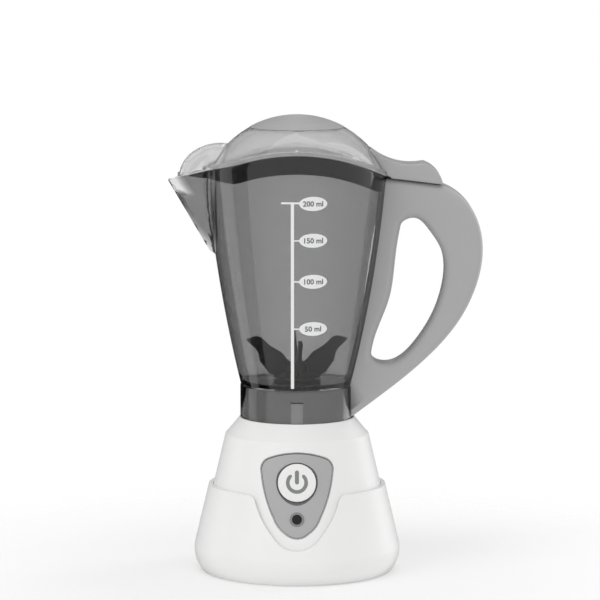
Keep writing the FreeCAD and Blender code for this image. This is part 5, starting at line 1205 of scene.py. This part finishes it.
def make_floor():
    """A white sheet under the toy that fades into the white behind it."""
    mesh = bpy.data.meshes.new("floor")
    half = SHEET_HALF
    mesh.from_pydata([(-half, -half, 0), (half, -half, 0), (half, half, 0), (-half, half, 0)],
                     [], [(0, 1, 2, 3)])
    paper, tree, shader = base_material("white_paper")
    fill(shader, {"Base Color": (0.96, 0.96, 0.96, 1), "Roughness": 0.9,
                  "Specular IOR Level": 0.1})
    place = tree.nodes.new("ShaderNodeTexCoord")
    distance = add_node(tree, "ShaderNodeVectorMath", {0: place.outputs["Object"]})
    distance.operation = "LENGTH"
    fade = add_node(tree, "ShaderNodeMapRange", {
        "Value": distance.outputs["Value"], "From Min": FADE_START, "From Max": FADE_END})
    fade.interpolation_type = "SMOOTHSTEP"
    clear = tree.nodes.new("ShaderNodeBsdfTransparent")
    mix = add_node(tree, "ShaderNodeMixShader", {
        "Fac": fade.outputs["Result"], 1: shader.outputs[0], 2: clear.outputs[0]})
    fill(tree.nodes["Material Output"], {"Surface": mix.outputs[0]})
    mesh.materials.append(paper)
    floor = linked("floor", mesh)
    floor.visible_glossy = False


def make_card(name, degrees, distance, width):
    """A dark upright studio card that only glossy surfaces see, at an angle from the front."""
    angle = math.radians(degrees)
    centre = Vector((math.sin(angle), -math.cos(angle), 0)) * distance
    side = Vector((math.cos(angle), math.sin(angle), 0)) * width / 2
    corners = [(end.x, end.y, z) for z in (-CARD_HALF, CARD_HALF)
               for end in (centre - side, centre + side)]
    mesh = bpy.data.meshes.new(name)
    mesh.from_pydata(corners, [], [(0, 1, 3, 2)])
    black, _, shader = base_material(name)
    fill(shader, {"Base Color": (0.01, 0.01, 0.01, 1), "Roughness": 1.0})
    mesh.materials.append(black)
    card = linked(name, mesh)
    card.visible_camera = card.visible_diffuse = False
    card.visible_transmission = card.visible_shadow = False


def make_world():
    """White where the camera, a gloss or a clear piece sees it, and a little less as light."""
    world = bpy.data.worlds.new("studio")
    bpy.context.scene.world = world
    world.use_nodes = True
    tree = world.node_tree
    tree.nodes.clear()
    path = tree.nodes.new("ShaderNodeLightPath")
    seen = path.outputs["Is Camera Ray"]
    for output in ("Is Glossy Ray", "Is Transmission Ray"):
        seen = maths(tree, "ADD", seen, path.outputs[output])
        seen.node.use_clamp = True
    light, white = (add_node(tree, "ShaderNodeBackground", {
        "Color": (1, 1, 1, 1), "Strength": strength}) for strength in (WORLD_LIGHT, 1.0))
    mix = add_node(tree, "ShaderNodeMixShader", {
        "Fac": seen, 1: light.outputs[0], 2: white.outputs[0]})
    add_node(tree, "ShaderNodeOutputWorld", {"Surface": mix.outputs[0]})


def aim(thing, place, target):
    thing.location = place
    thing.rotation_euler = (target - place).to_track_quat("-Z", "Y").to_euler()


def soft_lamp(name, place, width, height, power):
    lamp = bpy.data.lights.new(name, "AREA")
    lamp.shape = "RECTANGLE"
    lamp.size = width
    lamp.size_y = height
    lamp.energy = power
    aim(linked(name, lamp), Vector(place), LAMP_AIM)


def make_camera():
    camera = bpy.data.cameras.new("view")
    camera.lens = 200
    camera.sensor_width = 36
    camera.clip_start = 0.01
    view = linked("view", camera)
    aim(view, EYE, EYE_AIM)
    bpy.context.scene.camera = view


make_floor()
make_world()
make_card("left_card", -76, 0.6, 0.26)
make_card("left_back_card", -146, 0.8, 1.0)
make_card("right_back_card", 161, 0.8, 0.52)
soft_lamp("left_box", (-0.9, -0.8, 0.9), 0.8, 0.9, 3.0)
soft_lamp("right_box", (0.75, 0.42, 0.3), 0.35, 0.9, 1.5)
soft_lamp("top_box", (0, -0.2, 1.3), 1.0, 1.0, 2.0)
make_camera()
bpy.context.scene.view_settings.view_transform = "Standard"
